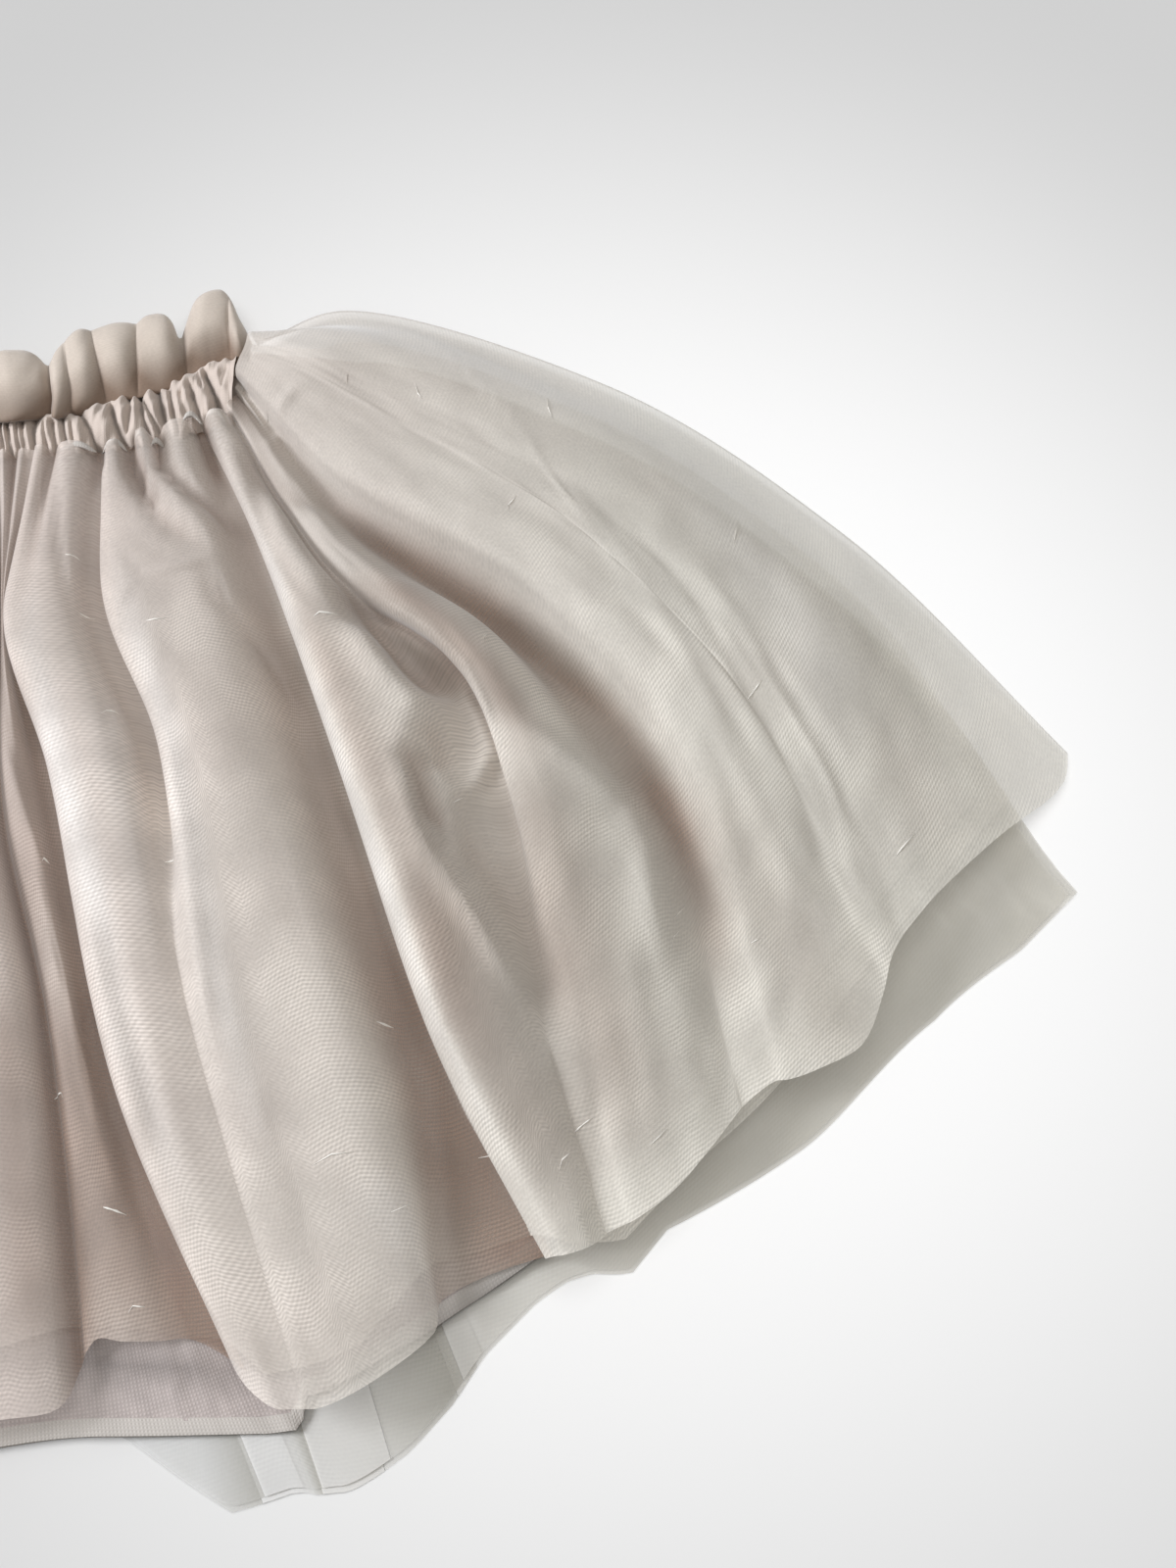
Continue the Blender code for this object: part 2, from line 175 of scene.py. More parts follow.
# One row for each fold of a half, from the middle out. The five points are the fold's crisp edge.
# rise is its height, valley the height of the dip after it, and lean how far the edge overhangs
# the dip before it. crest, fall and foot are where, from this edge to the next, the fold is
# highest, starts to fall and reaches the dip. Each is given at the waist, the crest and the hem,
# or with one more between the crest and the hem.
Fold = namedtuple("Fold", "waist high middle low hem rise valley lean crest fall foot")
RIGHT_FOLDS = table(
    Fold,
    (on_seam(0), (0, -40), (0, -98), (0, -172), (0, -256), (3, 12, 7), 0, 0, (0.35, 0.50, 0.68),
     (0.80, 0.82, 0.88), (0.92, 0.92, 0.96)),
    (on_seam(24), (29, -42), (36, -97), (54, -159), (71, -244), (2, 6, 3), 0, (-2, -3, -3),
     (0.40, 0.30, 0.20), (0.62, 0.52, 0.40), (0.85, 0.76, 0.70)),
    (on_seam(33), (32, -45), (49, -98), (69, -169), (106, -244), (3, 17, 13, 9), (0, 5, 11, 9), (1, 4, 4),
     (0.40, 0.52, 0.40), (0.74, 0.74, 0.70), (0.86, 0.86, 0.90)),
    (on_seam(50), (55, -43), (74, -90), (88, -152), (119, -244), (3, 17, 14, 9), 0, (1, 2, -3, -4),
     (0.35, 0.26, 0.26), (0.70, 0.62, 0.66, 0.52), (0.88, 0.83, 0.83, 0.58)),
    (on_seam(75.5), (93, -30), (116, -92), (142, -164), (169, -214), (4, 19, 11), (0, 5, 9, 7), (1, 5, 5),
     (0.35, 0.16, 0.14), (0.66, 0.50, 0.48), (0.86, 0.74, 0.78)),
    ((82, 13), (111, -36), (148, -75), (168, -140), (185, -205), (4, 17, 9), (2, 0, 3.5, 6), (0, 2, -9),
     (0.44, 0.20, 0.34), (0.64, 0.46, 0.60), (0.86, 0.66, 0.78)),
    ((84, 22), (114, -14), (163, -49), (200, -98), (220, -175), (8, 16, 8), (8, 15.4, 7.4), (0, -6, -10),
     (0.36, 0.30, 0.30), (0.62, 0.56, 0.56), (0.80, 0.78, 0.78)),
    ((86.5, 31), (126, 9), (177, -27), (222, -78), (250, -136), (8, 15, 7.2), 0, (-1, -5, -5), 0.22,
     (0.56, 0.54, 0.52), 0.90),
    ((87, 39.5), (111, 51), (180, 27), (243, -21), (301, -91), 0, 0, 0, 0.4, 0.6, 0.8),
)
LEFT_FOLDS = table(
    Fold,
    RIGHT_FOLDS[0],
    (on_seam(9), (13, -41), (16, -98), (20, -170), (25, -250), (2, 11, 6), (0, 1, 3), (1, 3, 2),
     (0.40, 0.35, 0.35), (0.66, 0.60, 0.66), (0.85, 0.80, 0.88)),
    (on_seam(23), (30, -42), (38, -98), (46, -165), (60, -247), (3, 13, 6), (0, 0, 3), (1, 3, 1),
     (0.36, 0.35, 0.38), (0.66, 0.60, 0.64), (0.84, 0.78, 0.84)),
    (on_seam(41), (52, -42), (66, -95), (84, -160), (100, -241), (3, 16, 8), (0, 1, 4), (1, 4, 4),
     (0.34, 0.30, 0.36), (0.62, 0.54, 0.66), (0.80, 0.70, 0.84)),
    (on_seam(61), (76, -36), (100, -88), (128, -150), (150, -225), (4, 18, 9), 0, (1, 5, 5),
     (0.36, 0.30, 0.34), (0.62, 0.52, 0.60), (0.80, 0.68, 0.78)),
    (on_seam(82), (98, -25), (132, -70), (166, -124), (193, -192), (4, 17, 9), (1, 1, 3), (1, 4, 3),
     (0.36, 0.34, 0.46), (0.56, 0.54, 0.66), (0.76, 0.72, 0.82)),
    ((84.5, 16.5), (113, -7), (158, -42), (204, -88), (232, -154), (7, 16, 8), (5, 9, 4), (0, 2, -6),
     (0.40, 0.38, 0.42), (0.68, 0.64, 0.70), (0.90, 0.88, 0.90)),
    ((86, 25), (125, 13), (180, -18), (228, -62), (262, -120), (8, 15, 5), 0, (0, -2, -2),
     (0.30, 0.30, 0.32), (0.55, 0.55, 0.58), 0.88),
    ((86, 35), (112, 51), (182, 25), (242, -24), (296, -94), 0, 0, 0, 0.4, 0.6, 0.8),
)

# Gathers along the front waist seam: the slit at a gather's right, how far down the slit runs,
# how high the gather puffs up and how far it laps onto the casing.
Gather = namedtuple("Gather", "x reach height up")
GATHERS = table(
    Gather,
    (-83.5, 12, 0.0, 0.0), (-75, 16, 2.8, 3.0), (-66, 10, 3.0, 2.2), (-58, 24, 2.4, 0.8),
    (-49.5, 12, 2.6, 1.4), (-40, 26, 2.4, 0.0), (-31, 14, 2.2, 0.4), (-22.5, 20, 2.4, 0.0),
    (-13, 12, 2.0, 0.3), (-5, 22, 2.2, 0.0), (3, 14, 2.0, 0.2), (11, 22, 2.2, 0.0), (19, 12, 2.0, 0.0),
    (27, 30, 2.4, 0.0), (37.3, 24, 2.2, 0.2), (48.5, 9, 2.4, 0.3), (56.6, 11, 3.2, -1.5),
    (64, 11, 4.0, -0.8), (74.4, 10, 4.2, 1.0), (83.5, 12, 4.0, -0.3),
)

# Soft round puffs (up) and dents (down) of the outer net.
Puff = namedtuple("Puff", "x y across along height")
PUFFS = table(
    Puff,
    (139, -84, 11, 7, 3.5),
    (104, 22, 16, 16, 3.0),
    (-106, 20, 15, 15, 3.0),
    (-128, -96, 10, 14, 4.0),
)

# Soft ridges (up) and troughs (down) of the outer net: the line that one follows, how far to each
#  side it reaches, its height, and its tone: how much shade is painted along it, in the outer front partly
#  for the lining that shows through, or how much light where the tone is below 0.
Crease = namedtuple("Crease", "line reach height tone", defaults=(0.0,))
RIGHT_CREASES = table(
    Crease,
    # Slits and tubes below the waist.
    ([(50, 14), (50, 1), (50, -4), (48, -12)], 1.3, -4.0),
    ([(54, 24), (58, 2), (60, -6), (63, -14), (65, -18), (68, -22)], 1.4, -5.0, 0.2),
    ([(58, 2), (60, -6), (63, -14), (67, -21), (74, -28), (84, -35)], 2.6, -2.6),
    ([(60, 26), (64, 5), (67, -6), (73, -13), (80, -18), (92, -29)], 2.0, -3.4, 0.2),
    ([(58, 14), (62, -1), (66, -10), (71, -18), (82, -29)], 2.6, 2.4),
    ([(72, 26), (75, 10), (77, 3), (79, -3), (84, -14)], 1.7, -4.0, 0.5),
    ([(94, -3), (97, 8), (101, 13), (107, 12)], 1.6, 1.1),
    ([(20, 8), (22, -12), (24, -36)], 1.6, -1.6),
    ([(12, 8), (11, -14), (12, -50)], 2.0, -1.6),
    ([(38, 10), (40, -8), (43, -30), (50, -58)], 1.2, -0.9),
    # The two panels left of the pocket.
    ([(42, -70), (57, -113), (70, -150)], 4.5, 0.0, -0.3),
    ([(22, -60), (28, -104), (34, -150)], 5.0, 0.0, 0.5),
    ([(40, -140), (52, -193), (62, -246)], 8.0, 0.0, 0.6),
    ([(128, -190), (146, -214), (164, -236)], 8.0, 0.0, -0.45),
    ([(48, -46), (54, -63), (61, -78), (65, -96)], 0.8, -0.8),
    ([(76, -28), (86, -49), (98, -64), (110, -82)], 1.5, -1.7),
    ([(61, -32), (70, -42), (77, -39), (83, -33)], 1.2, 0.9),
    ([(55, -30), (63, -45), (59, -60)], 1.4, 0.7),
    ([(63, -128), (71, -152), (78, -172), (87, -198)], 2.2, -1.2),
    ([(73, -84), (82, -114), (88, -143), (95, -176)], 2.4, 1.3),
    ([(94, -122), (103, -160), (113, -194), (123, -230)], 3.4, -1.0),
    ([(107, -110), (115, -141), (123, -169), (134, -210)], 3.4, 0.9),
    ([(36, -96), (49, -120), (60, -152), (74, -200)], 2.4, 1.4),
    ([(34, -84), (44, -107), (56, -130)], 2.0, 1.6),
    # The panel with the crisp pale rim, and the pocket, nose and hook at its right.
    ([(86, -18), (95, -39), (106, -61), (116, -93), (126, -118), (140, -150)], 1.1, -0.7),
    ([(88, -4), (97, -32), (104, -45), (114, -60)], 2.6, -1.7),
    ([(97, -44), (112, -82), (122, -112), (138, -150), (160, -196)], 1.6, 1.0),
    # Painted light along the pale rim.
    ([(84, -6), (93, -27), (105, -60), (117, -92), (130, -127), (143, -162), (170, -210)], 2.2, 0.0, -0.6),
    ([(34, -30), (42, -66), (53, -98), (63, -130), (73, -166), (96, -214)], 3.4, 0.0, -0.35),
    ([(56, -24), (66, -58), (78, -90), (86, -120), (93, -150), (112, -206)], 3.4, 0.0, -0.35),
    ([(58, -144), (66, -182), (72, -205), (78, -236)], 6.0, 0.0, 0.25),
    ([(36, -62), (43, -102), (50, -148)], 5.0, 0.0, 0.25),
    ([(58, -70), (70, -109), (82, -150)], 5.0, 0.0, -0.25),
    ([(196, 0), (206, -14), (218, -36), (236, -72), (246, -100)], 9.0, 0.0, -0.3),
    ([(236, -64), (252, -94), (268, -126)], 7.0, 0.0, 0.12),
    ([(92, -36), (104, -54), (116, -76), (124, -96), (136, -122), (144, -152), (156, -190)], 7.0, 0.0,
     0.5),
    ([(118, -36), (128, -46), (140, -58), (152, -72), (162, -88), (168, -102)], 5.0, 0.0, 0.7),
    ([(184, -86), (198, -108), (206, -130), (210, -160)], 5.0, 0.0, 0.35),
    ([(106, -16), (122, -27), (134, -33), (150, -45), (170, -66)], 4.5, 0.0, 0.4),
    ([(136, -118), (148, -140), (153, -162), (162, -180), (174, -208)], 9.0, 0.0, 0.4),
    ([(112, -42), (119, -49), (125, -57), (131, -65), (138, -70), (148, -75)], 4.2, -5.6),
    ([(117, -56), (123, -63), (129, -73), (137, -79), (144, -81), (151, -82)], 4.4, 4.6),
    ([(106, -36), (115, -44), (123, -52), (131, -57), (139, -63), (146, -71), (151, -83), (153, -91),
     (150, -99), (144, -105), (136, -113)], 2.4, 3.4),
    ([(137, -85), (142, -92), (139, -99)], 3.0, -2.6),
    ([(134, -90), (136, -96), (138, -102), (140, -108), (144, -116)], 2.6, -6.0),
    ([(131, -84), (134, -97), (135, -107), (137, -116), (143, -125), (152, -137), (166, -160)], 2.4, 3.0),
    ([(138, -104), (148, -116), (156, -123), (162, -132), (168, -146), (172, -168)], 5.4, -3.4),
    ([(152, -82), (160, -88), (170, -94), (180, -99), (187, -104), (191, -115), (194, -150)], 4.0, 3.0),
    ([(106, -12), (124, -28), (135, -35), (152, -47), (168, -63), (186, -76), (195, -91), (204, -113),
     (212, -145)], 5.0, -2.2),
    ([(150, -88), (162, -106), (172, -130), (181, -165), (187, -200)], 11.0, 0.0, 0.5),
    ([(200, -90), (214, -120), (228, -148), (246, -180)], 10.0, 0.0, 0.25),
    ([(167, -122), (175, -151), (179, -174), (180, -200)], 2.6, -0.9),
    ([(185, -135), (189, -162), (193, -190)], 2.2, 0.9),
    # The smooth right side.
    ([(86, 1), (96, -13), (112, -24)], 3.5, -2.6),
    ([(130, 39), (146, 19), (157, 3), (167, -15), (177, -31), (190, -52)], 0.6, 0.45),
    ([(174, -12), (201, -47), (221, -85), (232, -116), (239, -142)], 2.0, -0.45),
    ([(184, -10), (215, -59), (235, -100), (243, -136)], 1.8, 0.5),
    ([(164, -8), (189, -45), (207, -81), (220, -114), (227, -146)], 2.4, 0.5),
    ([(108, -8), (135, -25), (157, -42), (179, -64)], 2.6, 0.6),
    ([(107, 48), (129, 38), (156, 21), (190, 1)], 2.4, 0.6),
    ([(225, -18), (246, -50), (262, -84), (270, -112)], 3.4, -0.8),
    ([(240, -30), (262, -62), (283, -96)], 3.0, 0.7),
    ([(150, 24), (186, 0), (222, -36), (246, -74)], 3.6, 0.7),
)
LEFT_CREASES = table(
    Crease,
    ([(-16, 12), (-19, -6), (-24, -30)], 1.3, -1.8),
    ([(-31, 12), (-34, -8), (-42, -40)], 1.4, -2.0),
    ([(-47, 14), (-51, -6), (-60, -34)], 1.3, -2.2),
    ([(-55, 12), (-60, -10), (-74, -40)], 1.8, 1.3),
    ([(-68, 16), (-73, 0), (-86, -26)], 1.5, -2.4),
    ([(-76, 16), (-83, -4), (-98, -30)], 1.6, 1.4),
    ([(-84, 4), (-98, -14), (-118, -40)], 3.2, -2.4),
    ([(-95, -2), (-100, 10), (-108, 10)], 1.4, 1.3),
    ([(-60, -46), (-70, -72), (-80, -100)], 1.0, -0.9),
    ([(-92, -50), (-106, -76), (-120, -104), (-134, -136)], 1.6, -1.2),
    ([(-112, -48), (-128, -72), (-146, -102)], 2.2, 1.7),
    ([(-120, -84), (-131, -98), (-136, -112)], 1.8, -2.6),
    ([(-34, -92), (-44, -126), (-52, -168), (-60, -206)], 2.4, 1.2),
    ([(-74, -110), (-86, -146), (-98, -186), (-104, -220)], 3.2, -1.2),
    ([(-112, -120), (-126, -150), (-140, -184), (-146, -210)], 2.8, 1.1),
    ([(-150, -84), (-168, -118), (-182, -150), (-190, -182)], 2.8, -1.2),
    ([(-130, 34), (-156, 14), (-184, -14), (-206, -44)], 2.8, 1.1),
    ([(-136, -10), (-164, -38), (-192, -76), (-216, -118)], 2.4, 1.1),
    ([(-160, -6), (-190, -38), (-216, -74), (-240, -116)], 2.0, -1.0),
    ([(-210, -20), (-238, -54), (-262, -92)], 3.0, 1.0),
    ([(-222, -44), (-246, -80), (-264, -110)], 3.0, -1.1),
    ([(-8, -70), (-11, -120), (-14, -180)], 2.2, -1.2),
    ([(-24, -60), (-30, -100), (-36, -150)], 1.6, 1.0),
)

# How far a panel's hem reaches past the fold table's hem; at counts folds from the middle.
Drop = namedtuple("Drop", "at by")
RIGHT_FRONT_DROPS = table(
    Drop,
    (0.0, 0), (0.88, 2), (0.97, -2), (1.03, -9), (1.5, -9), (1.88, -9), (1.98, -8), (2.03, -4),
    (2.25, 0), (3.1, 0), (3.5, 0), (3.62, -4), (3.75, -12), (3.93, -10), (3.97, -1), (4.0, -1.5),
    (4.07, -2.2), (4.086, 1.5), (4.1, -1.2), (4.15, -0.6), (4.4, 0.3), (5.4, 0), (5.7, -3), (6.0, -2),
    (6.3, 5), (6.55, 11), (6.66, 12), (6.78, 8), (6.93, 2), (7.2, 0), (7.5, 0), (7.62, 2.5), (7.8, 4),
    (7.93, 3), (8.0, -0.5),
)
LEFT_FRONT_DROPS = table(
    Drop,
    (0.0, 0), (1.6, 0), (1.8, -6), (1.97, -5), (2.1, 0), (3.5, 1), (3.75, -9), (3.96, -8), (4.06, 0),
    (5.6, 0), (5.8, -6), (6.0, 0), (9.0, 0),
)
RIGHT_BACK_DROPS = table(
    Drop,
    (0.0, -2), (0.8, -1), (1.0, 1), (1.15, 4), (1.35, 11), (1.55, 18), (1.65, 17.5), (2.0, 15.5),
    (2.5, 14.5), (3.0, 12), (3.35, 12), (3.5, 10), (3.63, 6), (3.86, 3), (4.1, 2.5), (4.5, 4), (5.0, 8),
    (5.3, 4), (6.0, 10), (6.5, 15), (7.0, 20.5), (7.4, 20.5), (7.68, 16.5),
)
LEFT_BACK_DROPS = table(
    Drop,
    (0.0, 3), (0.7, 10), (1.5, 6), (2.4, 14), (3.0, 7), (4.0, 12), (5.0, 8), (6.0, 12), (7.0, 15),
    (7.7, 19),
)
UNDER_BACK_SHORTER = 1.0
UNDER_FRONT_DROPS = table(
    Drop,
    (0.0, -8), (0.9, -16), (2.0, -17), (2.4, -8), (3.3, -8), (3.6, -17), (4.0, -14), (4.3, -5),
    (5.0, 1), (5.5, -3), (7.0, -3), (7.8, -9),
)
LINING_DROPS = table(
    Drop,
    (0.0, 3), (0.8, 3), (2.0, 3), (2.6, 2), (2.8, 0), (2.95, -4), (3.5, -5), (3.7, -6), (4.0, -8),
    (4.3, -12), (8.0, -14),
)
BACK_INSET = 15.0
UNDER_BACK_INSET = 16.5
UNDER_INSET = 14.0
LINING_INSET = 19.0
MOST_INSET_SHARE = 0.45
SIDE_TURN = 0.45  # how much further in a flat panel's side runs at its corner
TURNS_FROM = 0.8
FOLLOWS_TO = 0.6  # how far from its side a panel stops following the folds, in folds

# Flat pleats laid in the back nets: where one starts and how wide it is, both in folds.
Pleat = namedtuple("Pleat", "at width")
RIGHT_PLEATS = table(Pleat, (1.74, 0.45), (2.7, 0.55), (3.52, 0.08))
LEFT_PLEATS = table(Pleat, (0.8, 0.4), (2.3, 0.5), (3.9, 0.3))
PLEAT_LIFT = 0.12
PLEAT_SHADE = 0.3  # how far a pleat shades the cloth before it, in folds
PLEAT_LIGHT_AND_SHADE = 0.45
PLEAT_TURN = 0.004  # how much of a fold the cloth takes to turn back at a pleat's edge
PLEAT_EDGE = 0.02
PLEAT_TOP = 0.9  # how high its upper edge starts, as a share of its lift
PLEAT_EVENS = 1.6  # past this many of its widths, and the next share of a fold, the cloth is even
PLEAT_EVENS_BY = 0.1
UNDER_PLEAT_SHIFT = 0.03

# Creases of the back nets; the last column paints shade where the front's hem shades them, and light where
# it is below 0.
BACK_CREASES = table(
    Crease,
    ([(238, -130), (255, -128), (275, -126), (292, -125), (310, -124)], 1.0, 0.5, -0.15),
    ([(250, -114), (264, -118), (280, -120), (294, -123), (306, -126)], 1.0, 0.4, -0.12),
    ([(246, -120), (262, -123), (282, -124), (304, -125)], 2.5, 0.0, -0.06),
    ([(281, -100), (286, -114), (296, -127)], 1.2, 0.4),
    ([(-240, -128), (-262, -124), (-290, -116)], 1.0, 0.5),
    ([(180, -212), (215, -184), (240, -161), (262, -141), (280, -127), (300, -112)], 8.0, 0.0, 0.24),
    ([(128, -190), (144, -225), (156, -250), (170, -280)], 8.0, 0.0, 0.16),
)


def hermite(share, span, start, end, start_slope, end_slope):
    """Values at a share of the way along a cubic curve, from its ends and its slopes there."""
    return (
        (1 + 2 * share) * (1 - share) ** 2 * start
        + share * (1 - share) ** 2 * span * start_slope
        + share**2 * (3 - 2 * share) * end
        + share**2 * (share - 1) * span * end_slope
    )


def cubic(places, values, at):
    """Values of a smooth curve through the given ones, which never swings past them."""
    places, values, at = (np.asarray(given, float) for given in (places, values, at))
    tail = (1,) * (values.ndim - 1)
    steps = np.diff(values, axis=0) / np.diff(places).reshape(-1, *tail)
    before = np.concatenate((steps[:1], steps))
    after = np.concatenate((steps, steps[-1:]))
    alike = before * after > 0
    slopes = np.where(alike, 2 * before * after / np.where(alike, before + after, 1), 0)
    left = np.clip(np.searchsorted(places, at, side="right") - 1, 0, len(places) - 2)
    span = (places[left + 1] - places[left]).reshape(left.shape + tail)
    share = (at - places[left]).reshape(left.shape + tail) / span
    return hermite(share, span, values[left], values[left + 1], slopes[left], slopes[left + 1])


def along(sizes, place):
    """A size at a place along the skirt: it is given at the waist, the crest, maybe low down, and
    the hem, or once where it is the same all along."""
    if not isinstance(sizes, tuple):
        return sizes
    waist, crest, *low, hem = sizes
    if place < CREST_AT:
        return waist + (crest - waist) * math.sin(0.5 * math.pi * place / CREST_AT)
    if low:
        return float(cubic((CREST_AT, LOW_AT, 1.0), (crest, *low, hem), place))
    share = (place - CREST_AT) / (1 - CREST_AT)
    return hem + (crest - hem) * 0.5 * (1 + math.cos(math.pi * share))


def smooth_step(low, high, value):
    share = np.clip((value - low) / (high - low), 0, 1)
    return share * share * (3 - 2 * share)


def fading(share, full_from, full_to):
    """1 between the two shares, and softly down to 0 at both ends."""
    return smooth_step(0.0, full_from, share) * (1 - smooth_step(full_to, 1.0, share))


def drop_at(drops, across):
    return np.interp(across, *zip(*drops))


def settled(place):
    """How high the layers lie at a place, as a share: they settle on each other at the hem."""
    return 1 - HEM_SETTLES * smooth_step(LOW_AT, 1.0, place)


def plan(folds, across, place):
    """Points of a half in plan, across folds from the middle and place along the skirt."""
    edges = np.array([fold[: len(PLACES)] for fold in folds], float).swapaxes(0, 1)
    counts = np.arange(len(folds))
    points = cubic(counts, cubic(PLACES, edges, min(place, 1.0)), across)
    if place > 1.0:
        before = cubic(counts, cubic(PLACES, edges, 1 - HEM_STEP), across)
        points = points + (points - before) * (place - 1) / HEM_STEP
    seam = seam_height(points[..., 0]) - SEAM_EASE
    at_seam = (points[..., 0] < SEAM_HALF) & (place < SEAM_PLACE)
    points[..., 1] = np.where(at_seam, np.minimum(points[..., 1], seam), points[..., 1])
    return points


def last_width(folds, place):
    """How wide the last fold is."""
    last = len(folds) - 1
    return np.linalg.norm(plan(folds, last, place) - plan(folds, last - 1, place))


def section(folds, place, overhang=True):
    """A half's cross-section: across and height of each point, from the middle to the side."""
    spots = plan(folds, np.arange(len(folds)), place)
    points = []
    start = along(folds[0].rise, place)
    for index, fold in enumerate(folds[:-1]):
        width = np.linalg.norm(spots[index + 1] - spots[index])
        rise = along(fold.rise, place)
        valley = along(fold.valley, place)
        under = min(along(folds[index + 1].lean, place) / width, MOST_LEAN)
        points += [
            (index, start + EDGE_HEIGHT * (rise - start)),
            (index + SHOULDER_IN, start + SHOULDER_HEIGHT * (rise - start)),
            (index + along(fold.crest, place), rise),
            (index + along(fold.fall, place), valley + FALL_HEIGHT * (rise - valley)),
            (index + along(fold.foot, place), valley + FOOT_HEIGHT * (rise - valley)),
        ]
        dip_at = index + 1 + (under if overhang else -FLAT_EDGE)
        points.append((max(dip_at, points[-1][0] + LEAST_DIP), valley))
        start = valley
    points.append((len(folds) - 1, 0.0))
    return np.array(points)


def front_half(folds, side, drops):
    """Rows of the few points that shape the outer net's half, from the middle to the side; each
    is x, y, height and the shade painted there, from 0 to 1: the valleys are painted darker, partly for
    the lining that shows through them."""
    last = len(folds) - 1
    rows = []
    for place in FRONT_PLACES:
        across, height = section(folds, place).T
        top = max(along(folds[TALLEST_FOLD].rise, place), 1.0)
        short = VALLEY_HEM_RISE * np.clip(1 - height / top, 0, 1) * place**4
        short = short - drop_at(drops, across) / SKIRT_LENGTH * place**6
        spots = np.array([plan(folds, a, place - s) for a, s in zip(across, short)])
        tuck = min(SIDE_TUCK / last_width(folds, place), SIDE_TUCK_SHARE)
        down = smooth_step(last - tuck, last, across)
        level = (FRONT_LEVEL + (SIDE_LEVEL - FRONT_LEVEL) * down) * settled(place)
        # Painted shade in the valleys, partly for the lining that shows through; it grows towards the hem
        # and stops towards the side.
        painted_shade = 1 - smooth_step(0.0, VALLEY_SHADE_BELOW, height / top)
        painted_shade = painted_shade * smooth_step(*VALLEY_SHADE_STARTS, place)
        painted_shade = painted_shade * (1 - smooth_step(last - VALLEY_SHADE_ENDS[0], last - VALLEY_SHADE_ENDS[1], across))
        painted_shade = painted_shade * (VALLEY_SHADE_AT_CREST + (1 - VALLEY_SHADE_AT_CREST) * smooth_step(*VALLEY_SHADE_GROWS, place))
        lifted = level + height * (1 - down)
        rows.append(np.column_stack((side * spots[:, 0], spots[:, 1], lifted, painted_shade)))
    return np.array(rows)


def both_halves(right, left):
    """One grid from the left side to the right side; the halves share their middle column."""
    return np.concatenate((left[:, :0:-1], right), axis=1)


def finer_columns(grid, steps):
    """The grid with steps columns for each one, on soft curves through its points."""
    chord = np.linalg.norm(np.diff(grid[..., :3], axis=1), axis=2)[..., None]
    span = np.maximum(chord, LEAST_CHORD) ** CHORD_POWER
    slope = np.diff(grid, axis=1) / span
    near, far = span[:, 1:], span[:, :-1]
    inner = (slope[:, :-1] * near + slope[:, 1:] * far) / (near + far)
    slopes = np.concatenate((slope[:, :1], inner, slope[:, -1:]), axis=1)
    ends = (grid[:, :-1], grid[:, 1:], slopes[:, :-1], slopes[:, 1:])
    columns = [hermite(step / steps, span, *ends) for step in range(steps)]
    fine = np.stack(columns, axis=2).reshape(len(grid), -1, grid.shape[2])
    return np.concatenate((fine, grid[:, -1:]), axis=1)


def nearest_to(spots, line):
    """How far each spot is from the line, and how far along the line that is, from 0 to 1."""
    line = np.array(line, float)
    lengths = np.linalg.norm(np.diff(line, axis=0), axis=1)
    passed = 0.0
    nearest = np.full(spots.shape[:2], np.inf)
    share = np.zeros(spots.shape[:2])
    for start, end, length in zip(line[:-1], line[1:], lengths):
        way = (end - start) / length
        step = np.clip((spots - start) @ way, 0, length)
        far = np.linalg.norm(spots - start - step[..., None] * way, axis=-1)
        closer = far < nearest
        nearest = np.where(closer, far, nearest)
        share = np.where(closer, (passed + step) / lengths.sum(), share)
        passed += length
    return nearest, share


def add_creases(grid, creases, painted_shade=None):
    """Raises or lowers the grid along each crease; a crease fades out at both its ends. Where
    asked, a deep crease and a crease's tone paint shade along it, on the outer front partly for the lining
    that shows through, and a tone below 0 paints light."""
    spots = grid[..., :2].copy()
    for crease in creases:
        nearest, share = nearest_to(spots, crease.line)
        shape = fading(share, *CREASE_FULL) * np.exp(-((nearest / crease.reach) ** 2))
        grid[..., 2] += crease.height * shape
        if painted_shade is not None:
            deep_shade = crease.height / DEEP_CREASE if crease.height < TONED_BELOW else 0.0
            painted_shade += (deep_shade + crease.tone) * shape


def add_puffs(grid):
    for puff in PUFFS:
        far = ((grid[..., 0] - puff.x) / puff.across) ** 2 + ((grid[..., 1] - puff.y) / puff.along) ** 2
        grid[..., 2] += puff.height * np.exp(-far)


def cloth_lengths(grid):
    """How far each point lies across and along the cloth itself."""
    across = np.linalg.norm(np.diff(grid[-1], axis=0), axis=1)
    across = np.concatenate(([0], np.cumsum(across)))
    down = np.linalg.norm(np.diff(grid, axis=0), axis=2)
    down = np.concatenate((np.zeros((1, grid.shape[1])), np.cumsum(down, axis=0)))
    return np.stack(np.broadcast_arrays(across[None, :], down), axis=-1)


def crumple(lengths, height, across, down, seed):
    """Small uneven rise and fall of the cloth; across and down are the size of one hump."""
    spots = (lengths / (across, down)).reshape(-1, 2)
    rise = [noise.noise(Vector((u, v, seed))) for u, v in spots]
    return height * np.reshape(rise, lengths.shape[:2])


def mesh_object(name, points, faces, lengths, material):
    """A smooth object from points in millimetres, with each point's place on the cloth as UV."""
    mesh = bpy.data.meshes.new(name)
    mesh.from_pydata(((points + (0, SEAM_TO_ORIGIN, 0)) * MM).tolist(), [], faces)
    mesh.shade_smooth()
    corners = np.empty(len(mesh.loops), int)
    mesh.loops.foreach_get("vertex_index", corners)
    layer = mesh.uv_layers.new(name=UV_NAME)
    layer.uv.foreach_set("vector", (lengths * MM)[corners].ravel().astype(np.float32))
    mesh.materials.append(material)
    piece = bpy.data.objects.new(name, mesh)
    bpy.context.scene.collection.objects.link(piece)
    return piece


